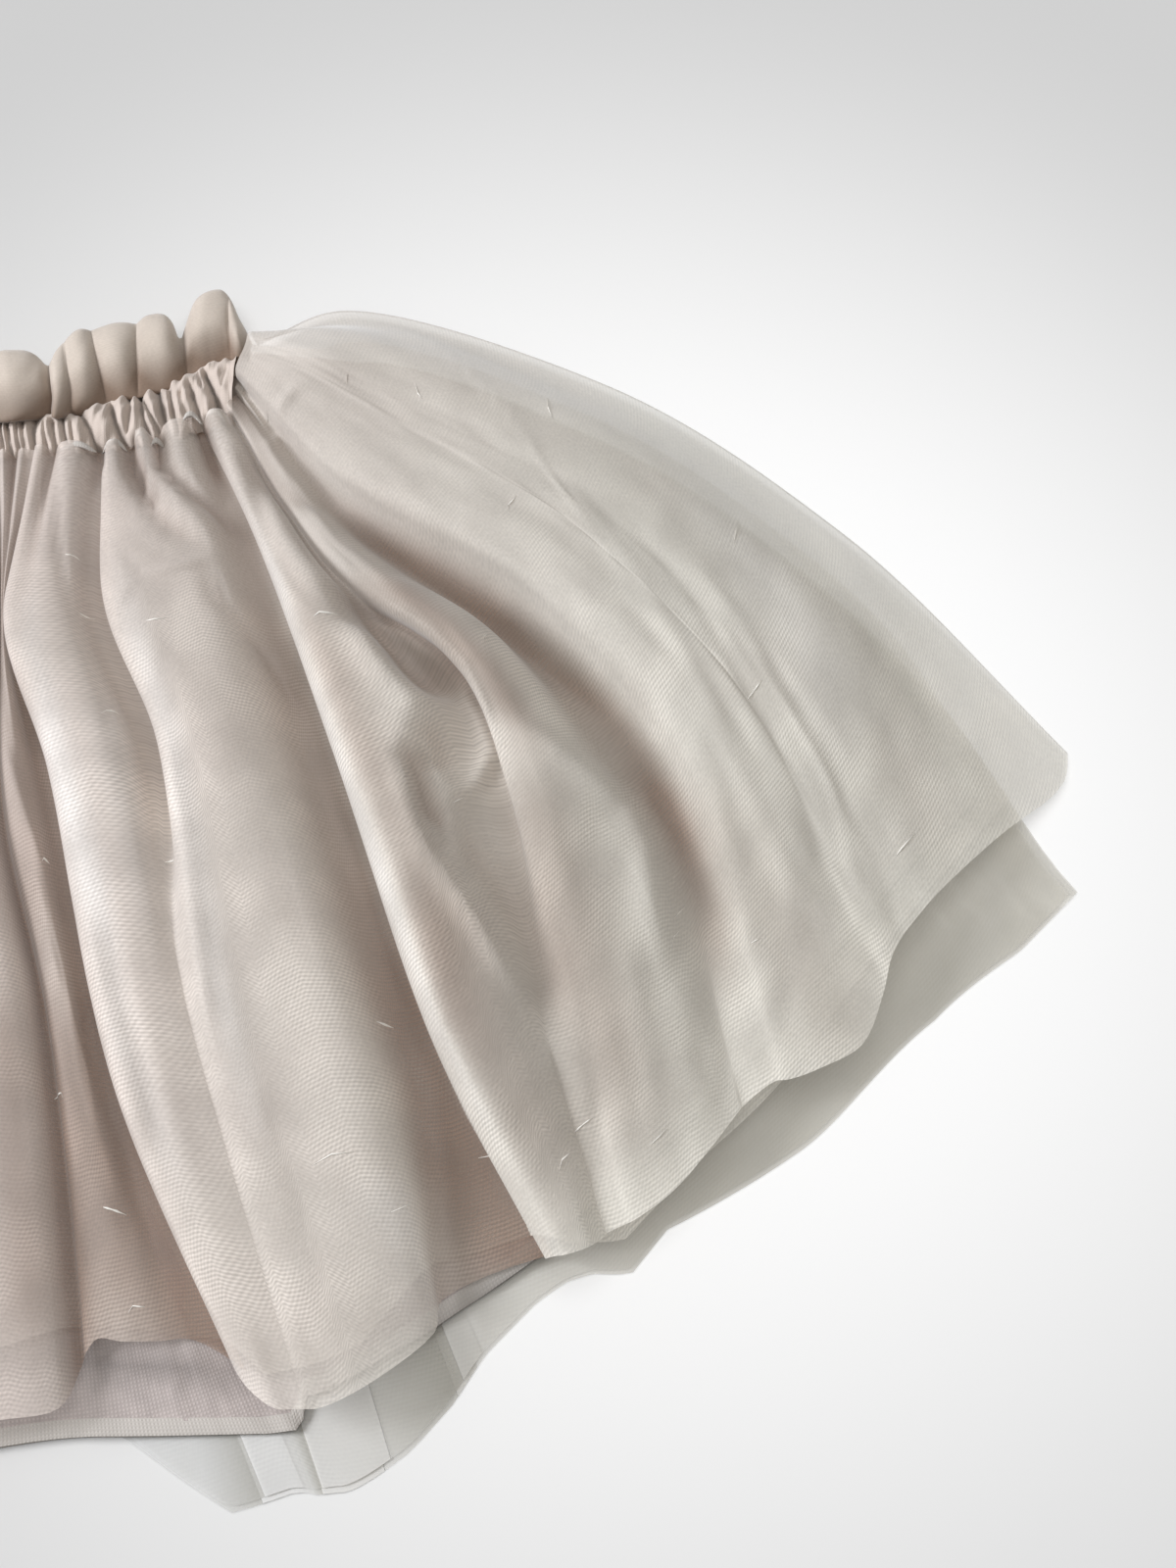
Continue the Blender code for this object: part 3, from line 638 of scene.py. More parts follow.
def grid_object(name, grid, material, painted_shade=None):
    """A smooth sheet through a grid of points; painted_shade is the shade painted on each point, and light
    where it is below 0.
    """
    corner = np.arange(grid.shape[0] * grid.shape[1]).reshape(grid.shape[:2])
    quads = np.stack((corner[:-1, :-1], corner[1:, :-1], corner[1:, 1:], corner[:-1, 1:]), axis=-1)
    faces = quads.reshape(-1, 4).tolist()
    lengths = cloth_lengths(grid).reshape(-1, 2)
    piece = mesh_object(name, grid.reshape(-1, 3), faces, lengths, material)
    if painted_shade is not None:
        layer = piece.data.attributes.new(PAINTED_SHADE_NAME, "FLOAT", "POINT")
        layer.data.foreach_set("value", np.clip(painted_shade, -1, 1).ravel().astype(np.float32))
    return piece


def dress(piece, nodes):
    """The piece rides on the skirt and stands for these solids."""
    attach(piece, "root")
    if nodes:
        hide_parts(*nodes)
    return piece


# Materials.


def linear(code):
    """An sRGB hex colour as linear light."""
    shares = [int(code[i : i + 2], 16) / 255 for i in (0, 2, 4)]
    return tuple(s / 12.92 if s <= 0.04045 else ((s + 0.055) / 1.055) ** 2.4 for s in shares)


def node(material, kind, inputs=(), **settings):
    """Adds a node with its settings, and gives its outputs. Its inputs are in order or by name,
    and each is a value or the output that feeds it."""
    made = material.node_tree.nodes.new("ShaderNode" + kind)
    for key, value in settings.items():
        setattr(made, key, value)
    for key, value in inputs.items() if isinstance(inputs, dict) else enumerate(inputs):
        if isinstance(value, bpy.types.NodeSocket):
            material.node_tree.links.new(value, made.inputs[key])
        else:
            made.inputs[key].default_value = value
    return made.outputs


def new_material(name):
    """An empty material, and the function that adds nodes to it."""
    material = bpy.data.materials.new(name)
    material.use_nodes = True
    material.node_tree.nodes.clear()
    return material, partial(node, material)


def weighted(add, start, *parts, clamp=False):
    """start plus each part times its weight, held between 0 and 1 at the end where asked."""
    for number, (part, weight) in enumerate(parts, 1):
        held = clamp and number == len(parts)
        start = add("Math", (part, weight, start), operation="MULTIPLY_ADD", use_clamp=held)[0]
    return start


def threads(add, coordinate, spacing, shift=0.0):
    """Rounded threads side by side: 1 on a thread's middle and 0 between two."""
    turned = weighted(add, shift, (coordinate, 2 * math.pi / spacing))
    return weighted(add, 0.5, (add("Math", [turned], operation="SINE")[0], 0.5))


def finish(add, colour, relief, strength, depth, looks):
    """Ends a material: its colour, its fine relief up to a depth in metres, and its other looks."""
    bump = add("Bump", {"Strength": strength, "Distance": depth, "Height": relief})[0]
    shader = add("BsdfPrincipled", {"Base Color": colour, "Normal": bump, **looks})
    add("OutputMaterial", [shader[0]])


def net_material(name, warm, cool, deep_shade, cover, rib_spacing, tint_at, pattern=1.0):
    """Nylon tulle, knitted: soft matt net whose ribs cross the folds; what lies under it shows
    through, and each further layer of it looks paler and closer. An attribute paints shade and light into
    its colour."""
    material, add = new_material(name)
    uv = add("UVMap", uv_map=UV_NAME)["UV"]
    u, v, _ = add("SeparateXYZ", [uv])
    x, y, _ = add("SeparateXYZ", [add("NewGeometry")["Position"]])
    # Soft blotches, for each size in metres and each detail.
    wander, patch, blotch, haze, grain = (
        add("TexNoise", {"Vector": uv, "Scale": 1 / size, "Detail": detail})["Fac"]
        for size, detail in ((0.03, 1.0), (0.02, 1.0), (0.012, 3.0), (0.045, 2.0), (0.0009, 2.0))
    )
    # The real ribs and cells are 0.75 mm apart, too fine to show, so they are drawn 1 mm apart.
    rib = threads(add, weighted(add, v, (wander, RIB_WANDER)), rib_spacing)
    cell = threads(add, u, CELL_SPACING, shift=weighted(add, 0.0, (v, math.pi / rib_spacing)))
    # The knit shows in some places and is blurred by its own haze in others.
    shown = add("MapRange", (patch, 0.4, 0.65, 0.3, 1.0))[0]
    smooth = add("MapRange", (y, 0.04, 0.1, 1.0, 0.3))[0]
    knit = weighted(add, 0.0, (weighted(add, rib, (cell, 0.5)), weighted(add, 0.0, (shown, smooth))))
    covered = cover - 0.06 - 0.14 * pattern
    parts = ((knit, 0.1 * pattern), (blotch, 0.1), (grain, 0.16 * pattern))
    thick = weighted(add, covered, *parts, clamp=True)
    # It turns from warm to cool towards the side.
    to_side = add("MapRange", (x, *tint_at, 0.0, 1.0))[0]
    turn = weighted(add, -0.25, (haze, 0.5), (to_side, 1.0), clamp=True)
    colour = add("Mix", {0: turn, MIX_A: (*warm, 1), MIX_B: (*cool, 1)}, data_type="RGBA")[MIXED]
    # The attribute paints shade in the deeper tone: in the valleys and creases, partly for the lining that
    # shows through, and on the back nets, all over, before their pleats and where the front's hem shades
    # them.
    #  Where it is below 0 it paints light in the pale tone, on doubled net and pale rims.
    painted_shade = add("Attribute", attribute_name=PAINTED_SHADE_NAME)["Fac"]
    for tone, share in ((deep_shade, 0.95), (linear("f4f1ec"), -1.0)):
        painted_share = weighted(add, 0.0, (painted_shade, share), clamp=True)
        colour = add("Mix", {0: painted_share, MIX_A: colour, MIX_B: (*tone, 1)}, data_type="RGBA")[MIXED]
    # Dark gaps between the ribs and the cells, a little grain, and soft random clouds.
    parts = ((knit, 0.24 * pattern), (grain, 0.16 * pattern), (blotch, 0.1 * pattern))
    lit = weighted(add, 1 - 0.24 * pattern, *parts)
    colour = add("VectorMath", {0: colour, "Scale": lit}, operation="SCALE")[0]
    finish(add, colour, knit, 0.14 * pattern, 0.0003, {
        "Roughness": 0.82,
        "IOR": 1.53,
        "Specular IOR Level": 0.25,
        "Sheen Weight": 0.55,
        "Sheen Roughness": 0.4,
        "Alpha": thick,
    })
    return material


def cotton_material(name, light, shade, thread, wear):
    """Plain-woven cotton lawn: matt, with fine threads both ways and faint streaks down it, and painted
    shade where its attribute says: in the casing's ruches and where the front net's hem shades the lining.
    shade is how dark it gets, as a share of its light colour, thread is how far apart its threads are, and
    wear how faded and streaked it is."""
    material, add = new_material(name)
    uv = add("UVMap", uv_map=UV_NAME)["UV"]
    u, v, _ = add("SeparateXYZ", [uv])
    # The real threads are 0.25 mm apart; they are drawn coarser, as far apart as the render shows.
    weave = weighted(add, 0.0, (threads(add, u, thread), threads(add, v, thread)))
    down = add("VectorMath", (uv, (9.0, 1.0, 1.0)), operation="MULTIPLY")[0]
    uneven, faded, streaks = (
        add("TexNoise", {"Vector": where, "Scale": 1 / size, "Detail": detail})["Fac"]
        for where, size, detail in ((uv, 0.004, 5.0), (uv, 0.03, 2.0), (down, 0.014, 3.0))
    )
    parts = ((weave, 0.5), (faded, wear), (uneven, 0.8), (streaks, 1.2 * wear))
    share = weighted(add, -0.29 - 0.5 * wear, *parts, clamp=True)
    dark = [c * shade for c in light]
    colour = add("Mix", {0: share, MIX_A: (*dark, 1), MIX_B: (*light, 1)}, data_type="RGBA")[MIXED]
    # Painted shade, from the attribute: the casing's ruches and the front net's shadow on the lining.
    shade_share = add("Attribute", attribute_name=PAINTED_SHADE_NAME)["Fac"]
    painted_shade_colour = (*[c * 0.3 for c in dark], 1)
    colour = add("Mix", {0: shade_share, MIX_A: colour, MIX_B: painted_shade_colour}, data_type="RGBA")[MIXED]
    finish(add, colour, weighted(add, weave, (uneven, 0.5)), 0.4, 0.0002, {
        "Roughness": 0.9,
        "IOR": 1.5,
        "Specular IOR Level": 0.2,
        "Sheen Weight": 0.2,
        "Sheen Roughness": 0.5,
    })
    return material


def thread_material(name, colour):
    """Spun nylon thread: fine, slightly lustrous, with a twist along it."""
    material, add = new_material(name)
    place = add("TexCoord")["Object"]
    twist = add("TexNoise", {"Vector": place, "Scale": 1 / 0.0006, "Detail": 2.0})["Fac"]
    shaded = (*[c * 0.85 for c in colour], 1)
    tone = add("Mix", {0: twist, MIX_A: shaded, MIX_B: (*colour, 1)}, data_type="RGBA")[MIXED]
    finish(add, tone, twist, 0.3, 0.0001, {"Roughness": 0.6, "IOR": 1.55})
    return material


def paper_material(name, middle, rim, centre, reach):
    """Matt background paper with a faint tooth, and a painted pool of light: pale at its centre, greyer
    further out.
    """
    material, add = new_material(name)
    place = add("TexCoord")["Object"]
    offset = add("VectorMath", (place, (-centre[0], -centre[1], 0)), operation="ADD")[0]
    far = add("VectorMath", [offset], operation="LENGTH")["Value"]
    share = add("MapRange", (far, *reach, 0.0, 1.0), interpolation_type="SMOOTHSTEP")[0]
    colour = add("Mix", {0: share, MIX_A: (*middle, 1), MIX_B: (*rim, 1)}, data_type="RGBA")[MIXED]
    tooth = add("TexNoise", {"Vector": place, "Scale": 1 / 0.002, "Detail": 2.0})["Fac"]
    looks = {"Roughness": 0.95, "IOR": 1.5, "Specular IOR Level": 0.1}
    finish(add, colour, tooth, 0.05, 0.0001, looks)
    return material


class SkirtSizes(bpy.types.PropertyGroup):
    """Sizes that a user would change."""

    rib_spacing: FloatProperty(
        name="Rib Spacing",
        description="Distance between the ribs of the net",
        default=0.001, min=0.0008, unit="LENGTH",
    )
    gather_height: FloatProperty(
        name="Gather Fullness",
        description="How high the gathers below the waist seam stand, as a share of their usual height",
        default=1.0, min=0.0,
    )
    crumple_height: FloatProperty(
        name="Crumple",
        description="Height of the small unevenness of the outer net",
        default=0.0009, unit="LENGTH",
    )
    slubs: IntProperty(
        name="Slubs",
        description="Number of short thick places in the net's threads",
        default=54, min=0,
    )
    outer_cover: FloatProperty(
        name="Outer Net Cover",
        description="How much one layer of the outer net hides of what lies below it",
        default=0.62, min=0.05, max=1.0, subtype="FACTOR",
    )
    under_cover: FloatProperty(
        name="Under Net Cover",
        description="How much one layer of the under net hides of what lies below it",
        default=0.5, min=0.05, max=1.0, subtype="FACTOR",
    )


def colour_of(label, what, code):
    text = "Colour of the " + what
    return FloatVectorProperty(name=label, description=text, default=linear(code), subtype="COLOR")


class SkirtColours(bpy.types.PropertyGroup):
    """Colours that a user would change."""

    net_warm: colour_of("Net, Warm", "net over the middle of the skirt", "ddcfc5")
    net_cool: colour_of("Net, Cool", "net towards the sides", "e6e1d5")
    net_back: colour_of("Net, Back", "back net that shows below the middle of the front", "f2f2f2")
    # Painted shade: the net's tone in its valleys, partly for the lining that shows through.
    net_valley_shade: colour_of("Net, Valleys", "net where it lies against the lining", "8b7261")
    frill: colour_of("Frill", "doubled net above the casing", "d0c3b5")
    # Painted shade: the frill's tone where it is pinched at the casing and in its creases.
    frill_pinch_shade: colour_of("Frill, Pinched", "frill where it is pinched at the casing", "86705f")
    lining: colour_of("Lining", "cotton lining", "c6bab4")
    casing: colour_of("Casing", "ruched elastic casing", "cebfb3")
    binding: colour_of("Binding", "lining's hem edge and the seam edge under the casing", "c5beb6")
    slub: colour_of("Slubs", "net's short thick threads", "f6f1e8")


def front_net(context, name, cover):
    sizes, colours = context.scene.skirt_sizes, context.scene.skirt_colours
    tones = (colours.net_warm, colours.net_cool, colours.net_valley_shade)
    return net_material(name, *tones, cover, sizes.rib_spacing, tint_at=(0.02, 0.2))


def back_net(context, name, cover):
    sizes, colours = context.scene.skirt_sizes, context.scene.skirt_colours
    deep_shade = [share * c for share, c in zip(BACK_SHADE_COLOUR, colours.net_cool)]
    tones = (colours.net_back, colours.net_cool, deep_shade)
    cover = BACK_COVER * cover
    return net_material(name, *tones, cover, sizes.rib_spacing, (0.06, 0.2), BACK_PATTERN)


def waist_gathers(grid, lengths, fullness, painted_shade):
    """Puffs the net up between the slits at the waist seam, and up over the casing's edge, and paints
    shade in the slits.
    """
    slits, reaches, heights, ups = np.array(GATHERS).T
    x = grid[0, :, 0]
    down = lengths[..., 1]
    counts = np.arange(len(slits))
    at = np.interp(x, slits, counts)
    after = np.minimum(at.astype(int) + 1, counts[-1])
    puff = np.sin(math.pi * (at - np.floor(at))) ** GATHER_ROUND
    inside = (x > slits[0]) & (x < slits[-1])
    fade = np.exp(-((down / np.interp(at, counts, reaches)) ** GATHER_FADE))
    far = np.abs(x[:, None] - slits).min(axis=1)
    slit = np.exp(-((far / SLIT_REACH) ** 2)) * inside
    # Painted shade in the slits.
    painted_shade += SLIT_SHADE * fade * slit
    grid[..., 2] += fullness * fade * (heights[after] * puff * inside - SLIT_DEPTH * slit)
    grid[..., 1] += np.exp(-((down / LAP_REACH) ** 2)) * (ups[after] * puff * inside)


def front_grid(sizes):
    """The outer front's full grid, with folds, gathers, creases and crumple."""
    right = front_half(RIGHT_FOLDS, 1, RIGHT_FRONT_DROPS)
    left = front_half(LEFT_FOLDS, -1, LEFT_FRONT_DROPS)
    grid = finer_columns(both_halves(right, left), FRONT_STEPS)
    grid, painted_shade = grid[..., :3].copy(), np.clip(grid[..., 3], 0, 1)
    lengths = cloth_lengths(grid)
    waist_gathers(grid, lengths, sizes.gather_height, painted_shade)
    add_puffs(grid)
    add_creases(grid, RIGHT_CREASES + LEFT_CREASES, painted_shade)
    inner = fading(np.linspace(0, 1, grid.shape[1]), *CRUMPLED)
    started = smooth_step(0.0, CRUMPLE_FROM, lengths[..., 1])
    high = sizes.crumple_height / MM
    uneven = crumple(lengths, high, across=13.0, down=34.0, seed=0.3)
    fine = crumple(lengths, FINE_CRUMPLE * high, across=5.0, down=11.0, seed=7.1)
    grid[..., 2] += (uneven + fine) * started * inner
    least = LEAST_FRONT - (LEAST_FRONT - LEAST_SIDE) * (1 - inner)
    least = least * settled(FRONT_PLACES)[:, None]
    grid[..., 2] = np.maximum(grid[..., 2], least)
    return grid, painted_shade


SLUB_LIFT = (0, 0, 0.05)
SLUB_STEP = 0.3  # least distance between two points of a slub
SLUB_TILT = 0.15  # the most that a slub leaves its rib, in rows for each column
SLUB_LENGTH = (2.5, 6.0)
SLUB_SWAY = (0.03, 0.08)
SLUB_ON_TOP = 0.05  # how much a slub prefers the higher of two layers, for each millimetre
SLUB_ROWS = (12, 6)  # first and last rows, and columns, that the random draws leave free
SLUB_COLUMNS = (12, 14)
# Slubs that are listed one by one; the others lie where the random draws put them.
SLUB_SPOTS = (
    (134, 9), (93, 9), (152, -65), (129, -158), (115, -193), (124, -202), (132, -202), (147, -187),
    (171, -193), (190, -187), (215, -139), (213, -151), (78, -122), (77, -222), (45, -35),
    (69, -58), (167, 3), (212, -34), (230, -58), (151, -188), (114, 14), (197, -133),
)


# A ridge's cross-section, from side to side: shares of its half width and of its height.
RIDGE_SECTION = ((-1, 0.0), (-0.7, 0.8), (0, 1.0), (0.7, 0.8), (1, 0.0))
RIDGE_TIP = 0.15  # share of its size that a ridge has at its ends
NUB_WAVES = 2.5


def ridge_object(name, paths, half_width, height, material, nubs=0.0):
    """Thin closed ridges along the paths, tapered at both ends, such as slubs and seam edges; nubs
    is how much thinner one is between its knots, as a share."""
    sides = len(RIDGE_SECTION)
    points, faces = [], []
    for path in paths:
        first = len(points)
        for spot, share in zip(path, np.linspace(0, 1, len(path))):
            full = RIDGE_TIP + (1 - RIDGE_TIP) * math.sin(math.pi * share) ** 0.5
            full *= 1 - nubs * math.sin(NUB_WAVES * math.pi * share + first) ** 2
            wide, high = half_width * full, height * full
            points += [spot + np.array((0, side * wide, up * high)) for side, up in RIDGE_SECTION]
        end = len(points) - sides
        for a in range(first, end, sides):
            for i in range(sides):
                after = (i + 1) % sides
                faces.append((a + i, a + after, a + sides + after, a + sides + i))
        faces += [tuple(range(first + sides - 1, first - 1, -1)), tuple(range(end, end + sides))]
    points = np.array(points)
    return mesh_object(name, points, faces, points[:, :2] + (0, SEAM_TO_ORIGIN), material)


def slub_paths(grid, count):
    """Where the net's threads are short and thick: along its ribs, a few millimetres long."""
    random = np.random.default_rng(11)
    rows, columns = grid.shape[:2]
    starts = []
    for spot in SLUB_SPOTS:
        far = np.linalg.norm(grid[..., :2] - spot, axis=-1) - SLUB_ON_TOP * grid[..., 2]
        starts.append(np.unravel_index(np.argmin(far), far.shape))
    while len(starts) < count:
        row = int(random.integers(SLUB_ROWS[0], rows - SLUB_ROWS[1]))
        starts.append((row, int(random.integers(SLUB_COLUMNS[0], columns - SLUB_COLUMNS[1]))))
    paths = []
    for row, column in starts:
        row = min(max(row, 2), rows - 3)
        path = [grid[row, column] + SLUB_LIFT]
        tilt = random.uniform(-SLUB_TILT, SLUB_TILT)
        wanted = random.uniform(*SLUB_LENGTH)
        walked = 0.0
        step = column
        while walked < wanted and step < columns - 2:
            step += 1
            there = grid[int(np.clip(row + tilt * (step - column), 1, rows - 2)), step] + SLUB_LIFT
            far = np.linalg.norm(there - path[-1])
            if far > SLUB_STEP:
                walked += far
                path.append(there)
        path = np.array(path)
        if len(path) > 2:
            sway = random.uniform(*SLUB_SWAY)
            path[:, 1] += sway * np.sin(np.linspace(0, random.uniform(3, 6), len(path)))
            paths.append(path)
    return paths


class SKIRT_OT_outer_front(bpy.types.Operator):
    """Builds the outer net of the front with its folds, gathers, creases and slubs"""

    bl_idname = "skirt.outer_front"
    bl_label = "Outer Net, Front"

    def execute(self, context):
        sizes = context.scene.skirt_sizes
        grid, painted_shade = front_grid(sizes)
        net = front_net(context, "nylon_tulle_outer_knitted", sizes.outer_cover)
        piece = grid_object("outer_net_front", grid, net, painted_shade)
        dress(piece, ["outer_tulle_front"])
        thread = thread_material("nylon_slub_spun", context.scene.skirt_colours.slub)
        paths = slub_paths(grid, sizes.slubs)
        slubs = ridge_object("net_slubs", paths, half_width=0.36, height=0.3, material=thread, nubs=0.6)
        dress(slubs, [])
        return {"FINISHED"}


def pleated_columns(folds, pleats):
    """Across, lift and tone of each column of a panel. In a pleat the cloth runs forward and back:
    it has painted light, palest along the pleat's upper edge, and painted shade, deepest just below that
    edge."""
    marks = [(0.0, -PLEAT_LIFT, 0.0)]
    ends = [pleat.at for pleat in pleats[1:]] + [folds - 1.0]
    for (at, width), end in zip(pleats, ends):
        even_from = at + PLEAT_EVENS * width + PLEAT_EVENS_BY
        marks += [
            (at - PLEAT_SHADE, -PLEAT_LIFT, 0.0),
            (at - PLEAT_EDGE, -PLEAT_LIFT, PLEAT_LIGHT_AND_SHADE),
            (at + width, -PLEAT_LIFT, -PLEAT_LIGHT_AND_SHADE),
            (at, PLEAT_TOP * PLEAT_LIFT, -PLEAT_LIGHT_AND_SHADE),
            (at + PLEAT_EDGE, PLEAT_LIFT, -PLEAT_LIGHT_AND_SHADE),
            (min(even_from, end - PLEAT_SHADE - PLEAT_EDGE), -PLEAT_LIFT, 0.0),
        ]
    marks = np.array([*marks, (folds, 0.0, 0.0)])
    columns = []
    for near, far in zip(marks[:-1], marks[1:]):
        apart = abs(far[0] - near[0])
        count = max(int(apart * FLAT_STEPS), 2)
        turn = min(PLEAT_TURN / max(apart, PLEAT_TURN), 0.1)
        for t in (0.0, turn, *np.arange(1, count) / count, 1 - turn):
            columns.append(near + (far - near) * t)
    return np.array([*columns, marks[-1]])


def flat_half(folds, side, drops, inset, rows_at, pleats, follow):
    """Rows of points of a half panel that lies flat, apart from what follows the folds above."""
    last = len(folds) - 1
    columns, lifts, tones = pleated_columns(last, pleats).T
    rows = []
    for place in rows_at:
        in_by = inset * (1 + SIDE_TURN * smooth_step(TURNS_FROM, 1.0, place))
        last_fold = 1 - min(in_by / last_width(folds, place), MOST_INSET_SHARE)
        across = np.minimum(columns, last - 1) + last_fold * np.maximum(columns - last + 1, 0)
        by = drop_at(drops, across)
        length = np.linalg.norm(plan(folds, across, 1.0) - plan(folds, across, 0.0), axis=1)
        low = place * (1 + by / length)
        near = plan(folds, across, place)
        far = plan(folds, across, place * (1 + by.max() / length.min()) + TINY)
        share = (low - place) / (place * by.max() / length.min() + TINY)
        spots = near + (far - near) * share[:, None]
        lift = lifts.copy()
        if follow:
            at, height = section(folds, place, overhang=False).T
            followed = follow * np.interp(across - UNDER_LAG, at, height)
            lift += followed * (1 - smooth_step(last - FOLLOWS_TO, last, across))
        rows.append(np.column_stack((side * spots[:, 0], spots[:, 1], lift, tones)))
    return np.array(rows)


def flat_grid(level, drops, inset, rows=44, pleats=((), ()), follow=0.0):
    """A flat panel's grid, and the painted light and shade that its pleats give it."""
    rows_at = np.linspace(0, 1, rows)
    right, left = (
        flat_half(folds, side, drops[half], inset, rows_at, pleats[half], follow)
        for half, (folds, side) in enumerate(((RIGHT_FOLDS, 1), (LEFT_FOLDS, -1)))
    )
    grid = both_halves(right, left)
    grid[..., 2] += level * settled(rows_at)[:, None]
    return grid[..., :3].copy(), grid[..., 3]


class SKIRT_OT_under_front(bpy.types.Operator):
    """Builds the under net of the front, which follows the outer net's folds a little"""

    bl_idname = "skirt.under_front"
    bl_label = "Under Net, Front"

    def execute(self, context):
        drops = (UNDER_FRONT_DROPS, UNDER_FRONT_DROPS)
        grid, _ = flat_grid(UNDER_FRONT_LEVEL, drops, UNDER_INSET, rows=70, follow=0.34)
        uneven = crumple(cloth_lengths(grid), 0.9, across=12.0, down=40.0, seed=3.7)
        grid[..., 2] += np.clip(uneven, -0.2, 0.2)
        creases = RIGHT_CREASES + LEFT_CREASES
        add_creases(grid, [crease for crease in creases if crease.height < TONED_BELOW])
        least = UNDER_FRONT_LEVEL * settled(np.linspace(0, 1, len(grid))) - 0.3
        grid[..., 2] = np.maximum(grid[..., 2], least[:, None])
        net = front_net(context, "nylon_tulle_under_knitted", context.scene.skirt_sizes.under_cover)
        piece = grid_object("under_net_front", grid, net)
        dress(piece, ["under_tulle_front"])
        return {"FINISHED"}


def back_panel(context, layer, level, cover, inset, shorter=0.0, pleats_moved=0.0):
    """One of the back's nets, which lies flat with a few flat pleats, with shade painted all over it,
    before its pleats and where the front's hem shades it.
    """
    drops = [
        [Drop(at, by - shorter) for at, by in side] for side in (RIGHT_BACK_DROPS, LEFT_BACK_DROPS)
    ]
    pleats = [
        [Pleat(at + pleats_moved, width) for at, width in side] for side in (RIGHT_PLEATS, LEFT_PLEATS)
    ]
    grid, pleat_shading = flat_grid(level, drops, inset, pleats=pleats)
    painted_shade = BACK_SHADE + pleat_shading
    add_creases(grid, BACK_CREASES, painted_shade)
    net = back_net(context, f"nylon_tulle_{layer}_back_knitted", cover)
    return grid_object(f"{layer}_net_back", grid, net, painted_shade)


class SKIRT_OT_back_nets(bpy.types.Operator):
    """Builds the outer and the under net of the back, which lie flat with a few flat pleats"""

    bl_idname = "skirt.back_nets"
    bl_label = "Nets, Back"

    def execute(self, context):
        sizes = context.scene.skirt_sizes
        outer = back_panel(context, "outer", OUTER_BACK_LEVEL, sizes.outer_cover, BACK_INSET)
        dress(outer, ["outer_tulle_back"])
        smaller = (UNDER_BACK_INSET, UNDER_BACK_SHORTER, UNDER_PLEAT_SHIFT)
        under = back_panel(context, "under", UNDER_BACK_LEVEL, sizes.under_cover, *smaller)
        dress(under, ["under_tulle_back"])
        return {"FINISHED"}


# The lining's hem edge from its outer side in: millimetres inside the hem, and share of its lift.
HEM_EDGE = ((-0.3, 0.0), (0.0, 0.6), (1.7, 0.9), (3.4, 0.8), (3.6, 0.1))
HEM_EDGE_LIFT = 0.15


def hem_edge(name, grid, material):
    """The stitched edge on the last rows of a sheet, with the lining's painted shade where the front net's
    hem shades it.
    """
    edge = grid[-1]
    way = grid[-2] - edge
    way = way / np.maximum(np.linalg.norm(way[:, :2], axis=1), TINY)[:, None]
    rows = []
    for inside, up in HEM_EDGE:
        row = edge + way * inside
        row[:, 2] = edge[:, 2] + HEM_EDGE_LIFT * up
        rows.append(row)
    grid = np.array(rows)
    shaded = np.zeros(grid.shape[:2])
    add_creases(grid.copy(), LINING_CREASES, shaded)
    return grid_object(name, grid, material, shaded)


# Creases of the lining; their tone paints shade, most of it where the front net's hem shades the lining.
LINING_CREASES = table(
    Crease,
    ([(20, -222), (50, -231), (70, -233), (86, -233), (104, -234), (130, -238)], 5.5, 0.0, 0.36),
    ([(56, -239), (70, -236), (84, -237), (96, -240), (110, -238)], 0.7, 0.35),
    ([(62, -234), (76, -232), (90, -234), (100, -233)], 0.8, -0.35, 0.2),
    ([(84, -230), (88, -238), (90, -246)], 0.8, 0.3),
    ([(124, -244), (140, -232), (152, -223), (162, -215), (180, -204)], 7.0, 0.0, 0.5),
    ([(134, -226), (148, -221), (158, -219), (166, -212)], 0.8, 0.35),
    ([(-60, -224), (-90, -232), (-130, -222)], 5.5, 0.0, 0.3),
)


class SKIRT_OT_lining(bpy.types.Operator):
    """Builds the cotton lining, front and back, with its stitched hem edge"""

    bl_idname = "skirt.lining"
    bl_label = "Lining"

    def execute(self, context):
        colours = context.scene.skirt_colours
        cotton = cotton_material("cotton_lawn_plain_woven", colours.lining, 0.64, 0.0009, 0.4)
        cream = cotton_material("cotton_binding_plain_woven", colours.binding, 0.85, 0.0008, 0.3)
        for side, level, node_name, seed in (
            ("front", LINING_FRONT_LEVEL, "lining_front", 5.2),
            ("back", LINING_BACK_LEVEL, "lining_back", 9.4),
        ):
            grid, _ = flat_grid(level, (LINING_DROPS, LINING_DROPS), LINING_INSET, rows=60)
            lengths = cloth_lengths(grid)
            wrinkles = crumple(lengths, 0.7, across=16.0, down=50.0, seed=seed)
            wrinkles += crumple(lengths, 0.35, across=3.5, down=26.0, seed=seed)
            grid[..., 2] += np.clip(wrinkles, -0.4, 0.45)
            shaded = np.zeros(grid.shape[:2])
            add_creases(grid, LINING_CREASES, shaded)
            piece = grid_object("cotton_lining_" + side, grid, cotton, shaded)
            dress(piece, [node_name])
            edge = hem_edge("lining_hem_edge_" + side, grid, cream)
            dress(edge, [])
        return {"FINISHED"}


# How far the casing's top stands above its usual height, along x.
CASING_TOP = (
    (-86, 4), (-80, 5), (-74, 4), (-66, 1), (-56, 2), (-46, 0), (0, 0), (43, 0), (47, 1.6), (53, 3.0),
    (64, 4.0), (68, 5.0), (72, 7.2), (76, 8.4), (80, 8.4), (86, 6),
)
